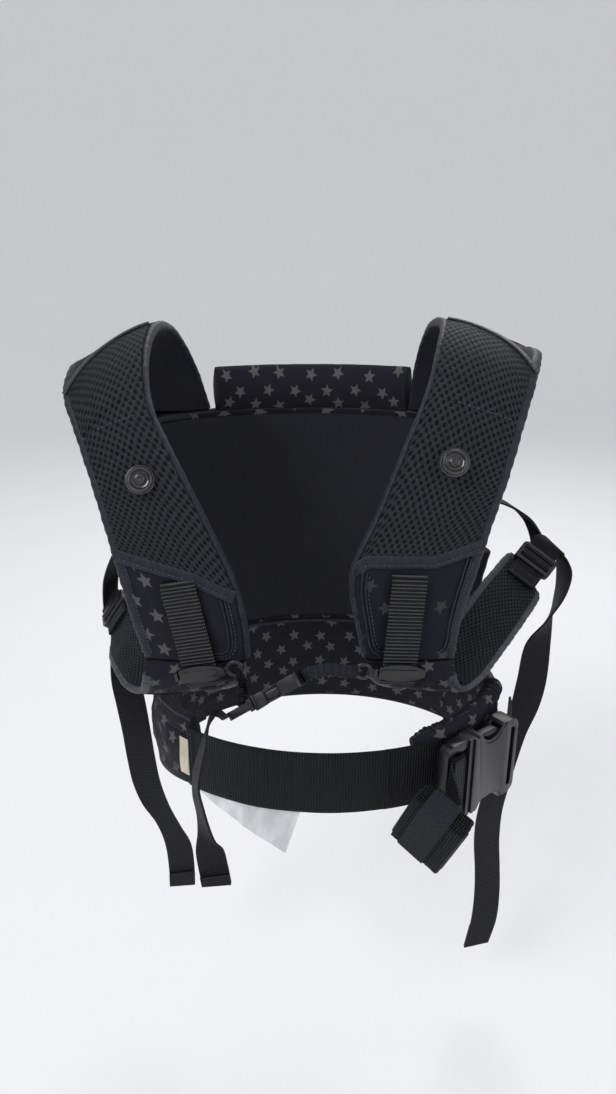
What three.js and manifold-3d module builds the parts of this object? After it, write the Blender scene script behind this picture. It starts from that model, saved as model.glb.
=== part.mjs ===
// Structured soft carrier harness: padded shoulder straps, chest strap, waist belt and front panel.
// Millimetres, +Z up, +Y towards the wearer's front, +X towards the wearer's right.
// The origin lies midway between the two shoulder straps, on the level where they rest on the shoulders.
import * as THREE from 'three';
import { mergeVertices } from 'three/addons/utils/BufferGeometryUtils.js';
import Module from 'manifold-3d';

const wasm = await Module();
wasm.setup();

// ---- driving dimensions -------------------------------------------------------------------------
const GAP = 0.3;                     // clearance left between pieces that are sewn or pressed together
const PAD = { thickness: 12, under: 7, edge: 0.55 };       // padded straps, thinned to their bound edges
const TAPE = { width: 25, thickness: 1.6 };                // strap webbing
const BELT = { width: 50, thickness: 2, low: -315, high: -265 };
const WAIST = { x: 15, y: -12, a: 148, b: 113 };           // outer ellipse of the belt round the waist
const CHEST = { x: 4, y: 4, a: 152, b: 112 };              // outer ellipse of the panel at the chest
const PANEL = { bottom: -262, top: -62, thickness: 9, lining: 1.6 };
const BAND = { top: -262, bottom: -342, thickness: 13 };
const RAIL = { standoff: 4.2, thickness: 1.5, shell: 2, slider: 13, rest: 5.5 };
const RING = { radius: 5.4, wire: 1.4 };
const WAIST_BUCKLE = {
  webbing: 50, width: 66, thickness: 14, socket: 50, frame: 26, wall: 2.6, arm: 34, armWidth: 6, scallop: 9,
};
const CHEST_BUCKLE = {
  webbing: 20, width: 28, thickness: 10, socket: 36, frame: 20, wall: 1.8, arm: 24, armWidth: 3.4, scallop: 4,
};

const COLOURS = {
  fabric: 0x17181d, mesh: 0x14161b, webbing: 0x0c0d0f, plastic: 0x0e0f11, lining: 0x1b1c21,
  elastic: 0x101113, label: 0xf2f3f3, tag: 0xd9d3bd, stud: 0x08090a,
};

// ---- geometry helpers ---------------------------------------------------------------------------
const vec = (x, y, z) => new THREE.Vector3(x, y, z);
const lerp = THREE.MathUtils.lerp;
const clamp01 = (value) => THREE.MathUtils.clamp(value, 0, 1);

/** Keep only positions and share the vertices that coincide. */
function weld(geometry) {
  geometry.deleteAttribute('normal');
  geometry.deleteAttribute('uv');
  return mergeVertices(geometry, 1e-3);
}

/** Turn a closed geometry's faces outwards if they all point in. */
function faceOut(geometry) {
  const p = geometry.attributes.position;
  const index = geometry.index.array;
  const [a, b, c] = [vec(), vec(), vec()];
  let volume = 0;
  for (let i = 0; i < index.length; i += 3) {
    a.fromBufferAttribute(p, index[i]);
    b.fromBufferAttribute(p, index[i + 1]);
    c.fromBufferAttribute(p, index[i + 2]);
    volume += a.dot(b.cross(c));
  }
  if (volume < 0) {
    for (let i = 0; i < index.length; i += 3) {
      [index[i], index[i + 1]] = [index[i + 1], index[i]];
    }
  }
  return geometry;
}

/** A closed slab that follows surface(u, v); depth(u, v) gives how far its two faces lie inside it. */
function slab(surface, depth, stepsU, stepsV) {
  const geometry = weld(new THREE.BoxGeometry(1, 1, 1, stepsU, stepsV, 1));
  const position = geometry.attributes.position;
  const step = 1e-3;
  for (let i = 0; i < position.count; i += 1) {
    const u = position.getX(i) + 0.5;
    const v = position.getY(i) + 0.5;
    const along = surface(Math.min(u + step, 1), v).sub(surface(Math.max(u - step, 0), v));
    const across = surface(u, Math.min(v + step, 1)).sub(surface(u, Math.max(v - step, 0)));
    const normal = along.cross(across).normalize();
    const [outer, inner] = depth(u, v);
    const inset = position.getZ(i) > 0 ? outer : inner;
    const point = surface(u, v).addScaledVector(normal, -inset);
    position.setXYZ(i, point.x, point.y, point.z);
  }
  return faceOut(geometry);
}

/** Depths of a pad that is thickness thick in the middle and thins to its two long edges. */
function padDepth(thickness, edge) {
  return (u, v) => {
    const thin = thickness * (1 - edge) * Math.abs(2 * v - 1) ** 3 / 2;
    return [thin, thickness - thin];
  };
}

/** Surface between two edge curves, each a list of points at matching stations. */
function between(edgeA, edgeB) {
  const a = new THREE.CatmullRomCurve3(edgeA.map((p) => vec(...p)));
  const b = new THREE.CatmullRomCurve3(edgeB.map((p) => vec(...p)));
  return (u, v) => a.getPoint(u).lerp(b.getPoint(u), v);
}

/** Point and directions on a surface: along u, across v and the outward normal. */
function frameOn(surface, u, v) {
  const step = 0.01;
  const at = surface(u, v);
  const along = surface(Math.min(u + step, 1), v).sub(surface(Math.max(u - step, 0), v)).normalize();
  const across = surface(u, v + step).sub(surface(u, v - step)).normalize();
  return { at, along, across, out: along.clone().cross(across).normalize() };
}

/** Flat tape along a line: each station is [x, y, z, across x, across y, across z]. */
function tape(stations, width, thickness, steps) {
  const sides = [-0.5, 0.5].map((side) => stations.map(([x, y, z, ax, ay, az]) => {
    const across = vec(ax, ay, az).normalize().multiplyScalar(side * width);
    return [x + across.x, y + across.y, z + across.z];
  }));
  return slab(between(...sides), () => [0, thickness], steps, 1);
}

/** Point at angle theta (degrees from the middle of the back, clockwise seen from above). */
function round(ellipse, theta, z, inset = 0) {
  const angle = THREE.MathUtils.degToRad(theta);
  return vec(
    ellipse.x - (ellipse.a - inset) * Math.sin(angle),
    ellipse.y - (ellipse.b - inset) * Math.cos(angle),
    z,
  );
}

/** Point on the back of the waist at a given x. */
function backOfWaist(x, z, inset = 0) {
  const ratio = (x - WAIST.x) / (WAIST.a - inset);
  return vec(x, WAIST.y - (WAIST.b - inset) * Math.sqrt(1 - ratio * ratio), z);
}

function toManifold(geometry) {
  const welded = weld(geometry.index ? geometry.clone() : geometry);
  return new wasm.Manifold(new wasm.Mesh({
    numProp: 3,
    vertProperties: new Float32Array(welded.attributes.position.array),
    triVerts: new Uint32Array(welded.index.array),
  }));
}

function fromManifold(solid) {
  const mesh = solid.getMesh();
  const geometry = new THREE.BufferGeometry();
  geometry.setAttribute('position', new THREE.BufferAttribute(new Float32Array(mesh.vertProperties), 3));
  geometry.setIndex(new THREE.BufferAttribute(new Uint32Array(mesh.triVerts), 1));
  return geometry;
}

/** Cut a list of tools from a body and add nothing. */
function cut(body, tools) {
  return fromManifold(tools.reduce((solid, tool) => solid.subtract(toManifold(tool)), toManifold(body)));
}

/** Box given by its low and high corners. */
function block(low, high) {
  const size = high.map((value, k) => value - low[k]);
  const geometry = new THREE.BoxGeometry(...size);
  return geometry.translate(...high.map((value, k) => (value + low[k]) / 2));
}

/** Outline with rounded corners, extruded along Z about Z = 0. */
function plate(points, thickness) {
  const shape = new THREE.Shape(points.map(([x, y]) => new THREE.Vector2(x, y)));
  const geometry = new THREE.ExtrudeGeometry(shape, { depth: thickness, bevelEnabled: false });
  return geometry.translate(0, 0, -thickness / 2);
}

/** Corner arc of an outline, centred at (x, y), from one angle to another in degrees. */
function arc(x, y, radius, from, to, steps = 4) {
  return Array.from({ length: steps + 1 }, (_, k) => {
    const angle = THREE.MathUtils.degToRad(lerp(from, to, k / steps));
    return [x + radius * Math.cos(angle), y + radius * Math.sin(angle)];
  });
}

function roundedRectangle(x0, x1, halfWidth, radius) {
  return [
    ...arc(x1 - radius, halfWidth - radius, radius, 90, 0),
    ...arc(x1 - radius, -halfWidth + radius, radius, 0, -90),
    ...arc(x0 + radius, -halfWidth + radius, radius, -90, -180),
    ...arc(x0 + radius, halfWidth - radius, radius, 180, 90),
  ];
}

const SEAM = { end: 0.996, start: 0.012 };               // stations where the two pads of a strap meet

// ---- the assembly -------------------------------------------------------------------------------
const harness = new THREE.Group();

/** Add one named piece to a parent group. */
function add(name, geometry, finish, parent = harness) {
  const soft = !['plastic', 'stud'].includes(finish);
  const material = new THREE.MeshStandardMaterial({
    color: COLOURS[finish], roughness: soft ? 0.9 : 0.4, metalness: 0,
  });
  const mesh = new THREE.Mesh(geometry.index ? geometry : weld(geometry), material);
  mesh.name = name;
  parent.add(mesh);
  return mesh;
}

/** Group whose local X runs along, local Y across and local Z out of a face. */
function placed(origin, along, across) {
  const x = vec(...along).normalize();
  const y = vec(...across);
  y.addScaledVector(x, -x.dot(y)).normalize();
  const z = x.clone().cross(y);
  const group = new THREE.Group();
  group.applyMatrix4(new THREE.Matrix4().makeBasis(x, y, z));
  group.position.set(...origin);
  harness.add(group);
  return group;
}

// ---- shoulder straps ----------------------------------------------------------------------------
// Matching stations of the neck-side edge and the arm-side edge: from the panel's top corner over
// the shoulder, then down the back.
const STRAPS = {
  left: {
    neck: [[-90, 95, -57], [-98, 80, -18], [-108, 44, 15], [-114, 0, 21], [-114, -42, 3], [-107, -72, -28],
      [-90, -88, -62], [-68, -96, -108], [-51, -99, -150], [-45, -99, -180], [-44, -97, -207]],
    arm: [[-138, 64, -57], [-154, 58, -36], [-169, 32, -17], [-174, -6, -9], [-170, -48, -24],
      [-158, -70, -48], [-147, -82, -80], [-138, -88, -115], [-131, -89, -150], [-125, -88, -182],
      [-119, -84, -212]],
    upper: [[-50, -92, -226], [-66, -80, -239], [-88, -62, -234], [-112, -40, -217], [-133, -12, -210],
      [-147, 22, -212]],
    lower: [[-121, -82, -232], [-127, -70, -249], [-138, -54, -254], [-150, -36, -248], [-158, -16, -246],
      [-160, 2, -240]],
  },
  right: {
    neck: [[92, 95, -57], [94, 80, -14], [97, 44, 18], [100, 0, 24], [92, -38, 10], [82, -64, -18],
      [66, -84, -54], [48, -94, -99], [31, -98, -142], [36, -98, -180], [42, -97, -206]],
    arm: [[140, 64, -57], [152, 58, -30], [165, 32, -8], [170, -6, 1], [158, -48, -11], [146, -71, -38],
      [136, -82, -74], [126, -87, -108], [117, -88, -146], [109, -88, -180], [107, -84, -212]],
    upper: [[48, -93, -224], [62, -82, -236], [84, -64, -229], [108, -44, -208], [135, -18, -186],
      [166, 16, -168]],
    lower: [[109, -82, -232], [116, -72, -246], [129, -60, -243], [147, -46, -227], [165, -32, -210],
      [184, -12, -195]],
  },
};

for (const [side, strap] of Object.entries(STRAPS)) {
  const order = side === 'left' ? ['arm', 'neck', 'lower', 'upper'] : ['neck', 'arm', 'upper', 'lower'];
  const [a, b, c, d] = order.map((key) => strap[key]);
  const back = between(a, b);
  const under = between([a.at(-1), ...c], [b.at(-1), ...d]);
  add(`${side}_strap_pad`, slab(
    (u, v) => back(u * SEAM.end, v), padDepth(PAD.thickness, PAD.edge), 24, 4,
  ), 'mesh');
  add(`${side}_underarm_pad`, slab(
    (u, v) => under(lerp(SEAM.start, 1, u), v), padDepth(PAD.under, PAD.edge), 20, 4,
  ), 'mesh');
  strap.end = frameOn(under, 1, 0.5);
}

// ---- chest strap rails, sewn on the straps' lower pockets -----------------------------------------
const RAILS = {
  left: { foot: [-74, -93.5, -226], up: [-0.19, 0, 0.982], across: [0.98, -0.1, 0.19], length: 82 },
  right: { foot: [63.5, -94, -225], up: [0.07, 0, 0.998], across: [0.99, 0.09, -0.07], length: 84 },
};
/** Slider that wraps a rail and its loop for the chest strap, at the rail's foot. */
function addSlider(side, group) {
  const half = TAPE.width / 2 + 6;
  const [low, high] = [RAIL.rest, RAIL.rest + RAIL.slider];
  const back = RAIL.standoff - 0.6 - RAIL.shell;
  const front = RAIL.standoff + RAIL.thickness + 0.6 + RAIL.shell;
  const body = plate(roundedRectangle(-half, half, RAIL.slider / 2, 3), front - back);
  body.translate(0, (low + high) / 2, (front + back) / 2);
  const slot = block(
    [-TAPE.width / 2 - 0.8, low - 1, RAIL.standoff - 0.6],
    [TAPE.width / 2 + 0.8, high + 1, RAIL.standoff + RAIL.thickness + 0.6],
  );
  add(`${side}_slider`, cut(body, [slot]), 'plastic', group);
  const ring = new THREE.TorusGeometry(RING.radius, RING.wire, 6, 16);
  const reach = half + RING.radius + RING.wire + GAP;
  ring.translate(side === 'left' ? reach : -reach, (low + high) / 2, (front + back) / 2);
  add(`${side}_strap_ring`, ring, 'plastic', group);
}

for (const [side, rail] of Object.entries(RAILS)) {
  const group = placed(rail.foot, rail.across, rail.up);
  const lift = RAIL.standoff;
  const line = [
    [0, 0.6], [2, lift * 0.8], [5, lift], [20, lift], [rail.length - 16, lift],
    [rail.length - 5, lift], [rail.length - 2, lift * 0.8], [rail.length, 0.6],
  ];
  const stations = line.map(([y, z]) => [0, y, z + RAIL.thickness, -1, 0, 0]);
  add(`${side}_rail`, tape(stations, TAPE.width, RAIL.thickness, 20), 'webbing', group);
  addSlider(side, group);
}

// Press studs on the straps' mesh.
const STUDS = {
  left: [[-111, -91.5, -74], [0.05, -0.93, 0.36]],
  right: [[96, -93, -62], [-0.1, -0.9, 0.42]],
};
for (const [side, [at, out]] of Object.entries(STUDS)) {
  const profile = [[0, 0], [8, 0], [8, 1.6], [6.6, 2.8], [5.2, 1.9], [3.4, 1.9], [2.8, 3.6], [0, 3.8]];
  const turned = new THREE.LatheGeometry(profile.map(([r, h]) => new THREE.Vector2(r, h)), 20);
  const stud = add(`${side}_press_stud`, weld(turned), 'stud');
  stud.position.set(...at);
  stud.quaternion.setFromUnitVectors(vec(0, 1, 0), vec(...out).normalize());
}

// ---- front panel and waistband --------------------------------------------------------------------
/** Outer face of the front panel: u runs up from the waistband, v from the wearer's left to right. */
function panelFace(u, v, inset = 0) {
  const spread = lerp(44, 64, clamp01(u * 1.7) ** 0.8);
  const body = {
    x: lerp(WAIST.x, CHEST.x, u),
    y: lerp(WAIST.y, CHEST.y, u) + 10 * Math.sin(Math.PI * u),
    a: lerp(WAIST.a, CHEST.a, u),
    b: lerp(WAIST.b, CHEST.b, u),
  };
  return round(body, lerp(180 - spread, 180 + spread, v), lerp(PANEL.bottom, PANEL.top, u), inset);
}

add('body_panel', slab((u, v) => panelFace(u, v), padDepth(PANEL.thickness, 0.6), 12, 16), 'fabric');
add('panel_lining', slab(
  (u, v) => panelFace(lerp(0.02, 0.98, u), lerp(0.02, 0.98, v)),
  () => [PANEL.thickness + GAP, PANEL.thickness + GAP + PANEL.lining], 10, 14,
), 'lining');

const REST = { low: -61, high: -26, spread: 34, thickness: 18 };
add('head_support', slab(
  (u, v) => round(CHEST, lerp(180 + REST.spread, 180 - REST.spread, u), lerp(REST.low, REST.high, v), -3),
  padDepth(REST.thickness, 0.35), 18, 4,
), 'fabric');

/** Padded bolster beside a leg opening, from the waistband up the panel's edge. */
function legPad(sign) {
  const surface = (u, v) => {
    const rise = lerp(0.01, 0.46, u);
    const edge = panelFace(rise, sign < 0 ? 0 : 1, -3);
    const middle = panelFace(rise, 0.5, -3);
    const aside = edge.clone().sub(middle).setZ(0).normalize();
    const back = vec(0, -1, 0);
    const reach = lerp(6, 30, sign < 0 ? 1 - v : v);
    return edge.addScaledVector(aside, reach * 0.55).addScaledVector(back, reach * 0.85);
  };
  return slab(surface, padDepth(14, 0.4), 12, 4);
}
add('left_leg_pad', legPad(-1), 'fabric');
add('right_leg_pad', legPad(1), 'fabric');

/** Waistband pad between two angles; taper(theta) gives its [bottom, top] there. */
function bandPad(from, to, taper, inset = 0, thickness = BAND.thickness) {
  const surface = (u, v) => {
    const theta = lerp(to, from, u);
    return round(WAIST, theta, lerp(...taper(theta), v), inset);
  };
  return slab(surface, padDepth(thickness, 0.5), 18, 4);
}
const BAND_ENDS = { left: 46, leftSeam: 126, rightSeam: 234.4, right: 336 };
const straight = () => [BAND.bottom, BAND.top - 0.6];
add('waistband_front', bandPad(BAND_ENDS.leftSeam + 0.4, BAND_ENDS.rightSeam - 0.4, straight), 'fabric');
add('waistband_left', bandPad(BAND_ENDS.left, BAND_ENDS.leftSeam, (theta) => {
  const t = clamp01((theta - BAND_ENDS.left) / 60);
  return [lerp(-318, BAND.bottom, t), lerp(-262, BAND.top - 0.6, t)];
}, 3), 'fabric');
add('waistband_right', bandPad(BAND_ENDS.rightSeam, BAND_ENDS.right, (theta) => {
  const t = clamp01((BAND_ENDS.right - theta) / 60);
  return [lerp(-316, BAND.bottom, t), lerp(-278, BAND.top - 6, t)];
}, 5, 9), 'fabric');

// Ruched roll along the right wing's upper edge.
const ROLL = { from: 282, to: 334, radius: 7.5 };
const rollLine = new THREE.CatmullRomCurve3([0, 0.25, 0.5, 0.75, 1].map((u) => (
  round(WAIST, lerp(ROLL.from, ROLL.to, u), lerp(-259, -269, u), 10)
)));
add('waistband_roll', new THREE.ExtrudeGeometry(
  new THREE.Shape(arc(0, 0, ROLL.radius, 0, 315, 7).map(([x, y]) => new THREE.Vector2(x, y))),
  { steps: 14, extrudePath: rollLine },
), 'fabric');

// ---- waist belt -----------------------------------------------------------------------------------
const beltFace = (from, to) => (u, v) => round(WAIST, lerp(from, to, u), lerp(BELT.low, BELT.high, v));
const beltDepth = () => [0, BELT.thickness];
const BELT_RUN = { start: 45.6, end: -17, meet: -17.3, turn: -33.5 };
add('belt_webbing', slab(beltFace(BELT_RUN.start, BELT_RUN.end), beltDepth, 24, 1), 'webbing');
add('belt_slack', slab(beltFace(BELT_RUN.meet, BELT_RUN.turn), beltDepth, 8, 1), 'webbing');

const LABEL = { corners: [[-88, -317], [-17, -357], [-4, -312], [-82, -270]], inset: 4.5, thickness: 0.7 };
add('care_label', slab((u, v) => {
  const [a, b, c, d] = LABEL.corners;
  const x = lerp(lerp(a[0], b[0], u), lerp(d[0], c[0], u), v);
  const z = lerp(lerp(a[1], b[1], u), lerp(d[1], c[1], u), v);
  return backOfWaist(x, z, LABEL.inset);
}, () => [0, LABEL.thickness], 8, 3), 'label');

const TAG = { x: -93.5, width: 7, low: -305, high: -274, thickness: 0.8 };
add('size_tag', slab((u, v) => backOfWaist(TAG.x + TAG.width * (u - 0.5), lerp(TAG.low, TAG.high, v), -1.6),
  () => [0, TAG.thickness], 1, 1), 'tag');

// ---- side-release buckles ---------------------------------------------------------------------------
// Local X runs from the tongue into the socket with the mouth at 0, Y across the webbing, Z outwards.
/** Socket shell: hollow from the mouth, scalloped at both sides, with a webbing slot at its back. */
function socketShell(b) {
  const half = b.width / 2;
  const body = plate(roundedRectangle(0, b.socket, half, half * 0.24), b.thickness);
  const depth = b.socket * 0.74;
  const inside = half - b.wall;
  const tools = [
    block([-1, -inside, -b.thickness / 2 + b.wall], [depth, inside, b.thickness / 2 - b.wall]),
    block(
      [b.socket * 0.83, -b.webbing / 2 - 1, -b.thickness],
      [b.socket * 0.83 + 4, b.webbing / 2 + 1, b.thickness],
    ),
  ];
  for (const side of [-1, 1]) {
    const bite = new THREE.CylinderGeometry(b.scallop * 1.5, b.scallop * 1.5, b.thickness * 2, 20);
    tools.push(bite.rotateX(Math.PI / 2).translate(b.socket * 0.42, side * (half + b.scallop * 0.5), 0));
  }
  return cut(body, tools);
}

/** Tongue frame: two webbing slots with a bar between them, and a guide blade that enters the socket. */
function tongueFrame(b) {
  const half = b.width / 2;
  const bar = b.frame * 0.12;
  const outline = [
    [-0.5, half * 0.22], [b.arm * 0.55, half * 0.16], [b.arm * 0.55, -half * 0.16], [-0.5, -half * 0.22],
    [-0.5, -half], ...arc(-b.frame + half * 0.2, -half * 0.8, half * 0.2, -90, -180, 3),
    ...arc(-b.frame + half * 0.2, half * 0.8, half * 0.2, 180, 90, 3), [-0.5, half],
  ];
  const slots = [[-b.frame + bar * 1.4, -b.frame * 0.56], [-b.frame * 0.44, -bar * 1.6]];
  const cutters = slots.map(([from, to]) => (
    block([from, -b.webbing / 2 - 1, -b.thickness], [to, b.webbing / 2 + 1, b.thickness])
  ));
  return cut(plate(outline, b.thickness * 0.6), cutters);
}

/** One spring arm, rooted at the tongue's shoulder; side is +1 or -1 across the buckle. */
function springArm(b, side) {
  const outer = b.width / 2 - b.wall - 0.6;
  const stem = b.armWidth * 0.55;
  const points = [
    [0, outer - stem], [b.arm * 0.45, outer - stem], [b.arm * 0.6, outer - b.armWidth * 1.3], [b.arm * 0.92,
      outer - b.armWidth * 1.1], [b.arm, outer - b.armWidth * 0.7], [b.arm * 0.86, outer - b.armWidth * 0.1],
    [b.arm * 0.62, outer], [0, outer],
  ].map(([x, y]) => [x, y * side]);
  return plate(points, b.thickness - 2 * b.wall - 0.8);
}

/** A whole buckle: its socket, tongue and two arms are separate pieces. */
function buckle(prefix, b, origin, along, across) {
  const group = placed(origin, along, across);
  add(`${prefix}_buckle_socket`, socketShell(b), 'plastic', group);
  add(`${prefix}_buckle_tongue`, tongueFrame(b), 'plastic', group);
  add(`${prefix}_prong_upper`, springArm(b, 1), 'plastic', group);
  add(`${prefix}_prong_lower`, springArm(b, -1), 'plastic', group);
  return group;
}

const WAIST_AT = { mouth: [117, -103, -296], along: [0.78, 0.626, 0], across: [0, 0, 1] };
const CHEST_AT = { mouth: [-35, -118, -226], along: [0.86, 0.05, 0.51], across: [-0.12, -0.9, 0.42] };
const waist = buckle('waist', WAIST_BUCKLE, WAIST_AT.mouth, WAIST_AT.along, WAIST_AT.across);
buckle('chest', CHEST_BUCKLE, CHEST_AT.mouth, CHEST_AT.along, CHEST_AT.across);

// ---- waist webbing on the buckle ----------------------------------------------------------------------
/** Thick line of webbing bent in a buckle's own X-Z plane, as wide as the webbing along local Y. */
function bentTape(points, width, thickness, steps) {
  const line = new THREE.CatmullRomCurve3(points.map(([x, z]) => vec(x, 0, z)));
  const surface = (u, v) => line.getPoint(u).add(vec(0, width * (v - 0.5), 0));
  return slab(surface, () => [-thickness / 2, thickness / 2], steps, 1);
}

// The belt turns round the tongue's bar: it comes from behind and leaves in front.
const turn = [[-22, -8.2], [-17, -6.4], [-11, -5.8], [-8.2, 0], [-11, 5.8], [-17, 6.2], [-24, 6.6]];
add('belt_turn', bentTape(turn, BELT.width - 1, BELT.thickness, 18), 'webbing', waist);
const anchorLine = [[51, -3.4], [56, -6.4], [63, -10.6], [71, -16], [79, -23.4]];
add('waist_anchor_webbing', bentTape(anchorLine, BELT.width, BELT.thickness, 12), 'webbing', waist);

// Spare belt end, folded flat and held by an elastic keeper.
const BUNDLE = { length: 42, width: 48, thickness: 20, at: [86, -147, -310] };
const bundle = placed(BUNDLE.at, [0.74, -0.52, -0.42], [0.25, -0.3, 0.92]);
const folds = plate(
  roundedRectangle(-BUNDLE.length / 2, BUNDLE.length / 2, BUNDLE.thickness / 2, 4), BUNDLE.width,
).rotateX(Math.PI / 2);
add('belt_end_bundle', folds, 'webbing', bundle);
const keeper = { width: 22, wall: 1.2, at: -2 };
const keeperOuter = [
  keeper.at - keeper.width / 2, keeper.at + keeper.width / 2, BUNDLE.width / 2 + GAP + keeper.wall,
  BUNDLE.thickness / 2 + GAP + keeper.wall,
];
add('belt_keeper', cut(
  block([keeperOuter[0], -keeperOuter[2], -keeperOuter[3]], [keeperOuter[1], keeperOuter[2], keeperOuter[3]]),
  [block(
    [keeperOuter[0] - 1, -keeperOuter[2] + keeper.wall, -keeperOuter[3] + keeper.wall],
    [keeperOuter[1] + 1, keeperOuter[2] - keeper.wall, keeperOuter[3] - keeper.wall],
  )],
), 'elastic', bundle);

// ---- chest webbing ------------------------------------------------------------------------------------
/** Webbing or elastic gathered into a soft rope along a line. */
function gathered(points, radius, steps) {
  const outline = arc(0, 0, radius, 0, 315, 7).map(([x, y]) => new THREE.Vector2(x, y * 0.8));
  const extrudePath = new THREE.CatmullRomCurve3(points.map((p) => vec(...p)));
  return new THREE.ExtrudeGeometry(new THREE.Shape(outline), { steps, extrudePath });
}
add('chest_webbing', gathered(
  [[-46.6, -105.2, -217], [-46.3, -107.6, -219.4], [-46.1, -111, -222.6], [-46, -114.6, -225.4]], 2.8, 6,
), 'webbing');
add('chest_elastic', gathered(
  [[-1.2, -116, -206.4], [6, -114.5, -204], [14, -112.5, -204], [23, -109, -207], [30.6, -105, -210]], 4, 12,
), 'elastic');
// Spare end: it rises from the tongue, turns over and hangs.
const CHEST_TAIL = [
  [-56, -124, -236, -0.12, -0.9, 0.42], [-58, -134, -227, -0.12, -0.9, 0.42],
  [-61, -145, -219, -0.1, -0.95, 0.3], [-65, -152, -220, 0, -1, 0.1],
  [-67, -156, -230, 0.1, -1, 0], [-71, -160, -244, 0.2, -1, 0],
  [-74, -164, -258, 0.3, -1, 0], [-73, -167, -272, 0.45, -0.9, 0.05],
  [-70, -169, -287, 0.5, -0.86, 0.1], [-68, -170, -299, 0.65, -0.72, 0.15],
  [-66, -171, -309, 0.97, -0.25, 0.2], [-64, -171.5, -322, 1, 0, 0.15], [-62, -172, -336, 1, 0, 0.1],
];
add('chest_tail', tape(CHEST_TAIL, 20, TAPE.thickness, 30), 'webbing');

// ---- strap adjusters, side webbing and spare ends ---------------------------------------------------
const ADJUSTER = { length: 18, width: 32, thickness: 6 };
const SIDE = {
  left: {
    lift: { webbing: [-3.4, -4], tail: [1, 4] },
    webbing: [[-170, 42, -192, 0.45, 0.85, 0.3], [-160, 49, -170, 0.45, 0.85, 0.1],
      [-148, 55, -150, 0.4, 0.9, 0], [-139, 57, -138, 0.35, 0.93, 0]],
    tail: [[-168, 47, -228, 0.5, 0.5, 0.6], [-167, 42, -243, 0.4, 0.85, 0.2], [-164, 29, -262, 0.6, 0.8, 0],
      [-159, 13, -282, 0.9, 0.4, 0], [-155, 8, -306, 1, 0.2, 0], [-152, 6, -332, 1, 0, 0],
      [-150, 6, -358, 1, 0, 0], [-147, 7, -386, 1, 0, 0], [-141, 11, -414, 1, 0.1, -0.2],
      [-132, 18, -442, 0.9, 0.2, -0.4], [-126, 26, -470, 1, 0.2, -0.2], [-125, 32, -500, 1, 0.2, 0],
      [-126, 35, -528, 1, 0.1, 0]],
  },
  right: {
    lift: { webbing: [1, 3], tail: [-3.4, -6] },
    webbing: [[190, 30, -152, 0.55, -0.75, -0.4], [181, 43, -139, 0.45, -0.85, -0.2],
      [164, 53, -131, 0.4, -0.9, -0.1], [147, 57, -128, 0.4, -0.9, 0]],
    tail: [[203, 12, -160, 0.6, -0.7, -0.5], [208, 5, -171, 0.3, -0.9, -0.3], [206, -1, -190, 0, -1, -0.1],
      [199, -3, -212, -0.4, -0.9, 0], [193, 0, -238, -0.9, -0.4, 0], [191, 0, -276, -1, 0, 0],
      [187, 0, -304, -1, 0, -0.1], [179, 0, -332, -1, 0, -0.25], [174, 2, -362, -1, 0, -0.3],
      [170, 4, -392, -1, -0.1, -0.3],
      [167, 6, -420, -1, -0.2, -0.2], [168, 10, -452, -1, -0.2, 0], [172, 14, -486, -1, -0.2, 0],
      [175, 17, -520, -1, -0.1, 0], [175, 19, -556, -1, 0, -0.1], [170, 20, -590, -1, 0, -0.3]],
  },
};
for (const [side, { lift, webbing, tail }] of Object.entries(SIDE)) {
  const { at, along, across } = STRAPS[side].end;
  const group = placed(at.toArray(), along.toArray(), across.toArray());
  const level = -PAD.under - 2;
  const reach = 4.6 + ADJUSTER.length + 1.2;
  group.updateMatrix();
  const width = vec().setFromMatrixColumn(group.matrix, 1);
  const lead = (lifts) => lifts.map((height, k) => [
    ...vec(reach + 6 * k, 0, level + height).applyMatrix4(group.matrix), ...width,
  ]);
  add(`${side}_adjuster_tab`, block(
    [-12, -TAPE.width / 2, level - 2.4], [4, TAPE.width / 2, level],
  ), 'webbing', group);
  const outline = roundedRectangle(4.6, 4.6 + ADJUSTER.length, ADJUSTER.width / 2, 3);
  const body = plate(outline, ADJUSTER.thickness).translate(0, 0, level - 1);
  const slots = [0.28, 0.66].map((share) => {
    const x = 4.6 + ADJUSTER.length * share;
    return block([x - 1.7, -TAPE.width / 2 - 0.8, level - 9], [x + 1.7, TAPE.width / 2 + 0.8, level + 9]);
  });
  add(`${side}_adjuster`, cut(body, slots), 'plastic', group);
  const run = [...lead(lift.webbing), ...webbing];
  add(`${side}_side_webbing`, tape(run, TAPE.width, TAPE.thickness, 12), 'webbing');
  const spare = [...lead(lift.tail), ...tail];
  add(`${side}_tail`, tape(spare, TAPE.width, TAPE.thickness, 36), 'webbing');
  // Patch that sews the side webbing to the panel's edge.
  const v = side === 'left' ? 0.045 : 0.955;
  add(`${side}_side_anchor`, slab(
    (p, q) => panelFace(lerp(0.56, 0.7, p), v + 0.07 * (q - 0.5)), () => [-2.2, -GAP], 3, 3,
  ), 'fabric');
}

export default harness;
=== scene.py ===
"""Soft carrier harness: the finished look of every piece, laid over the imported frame.

Lengths inside this file are in millimetres until a mesh is made; X is the wearer's right, Y points to the
wearer's front and Z points up. The route of every strap repeats the part's own design values.
"""
from __future__ import annotations

import logging
import math
from dataclasses import dataclass, field
from enum import Enum
from typing import Callable, Iterable, Optional, Sequence

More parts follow.
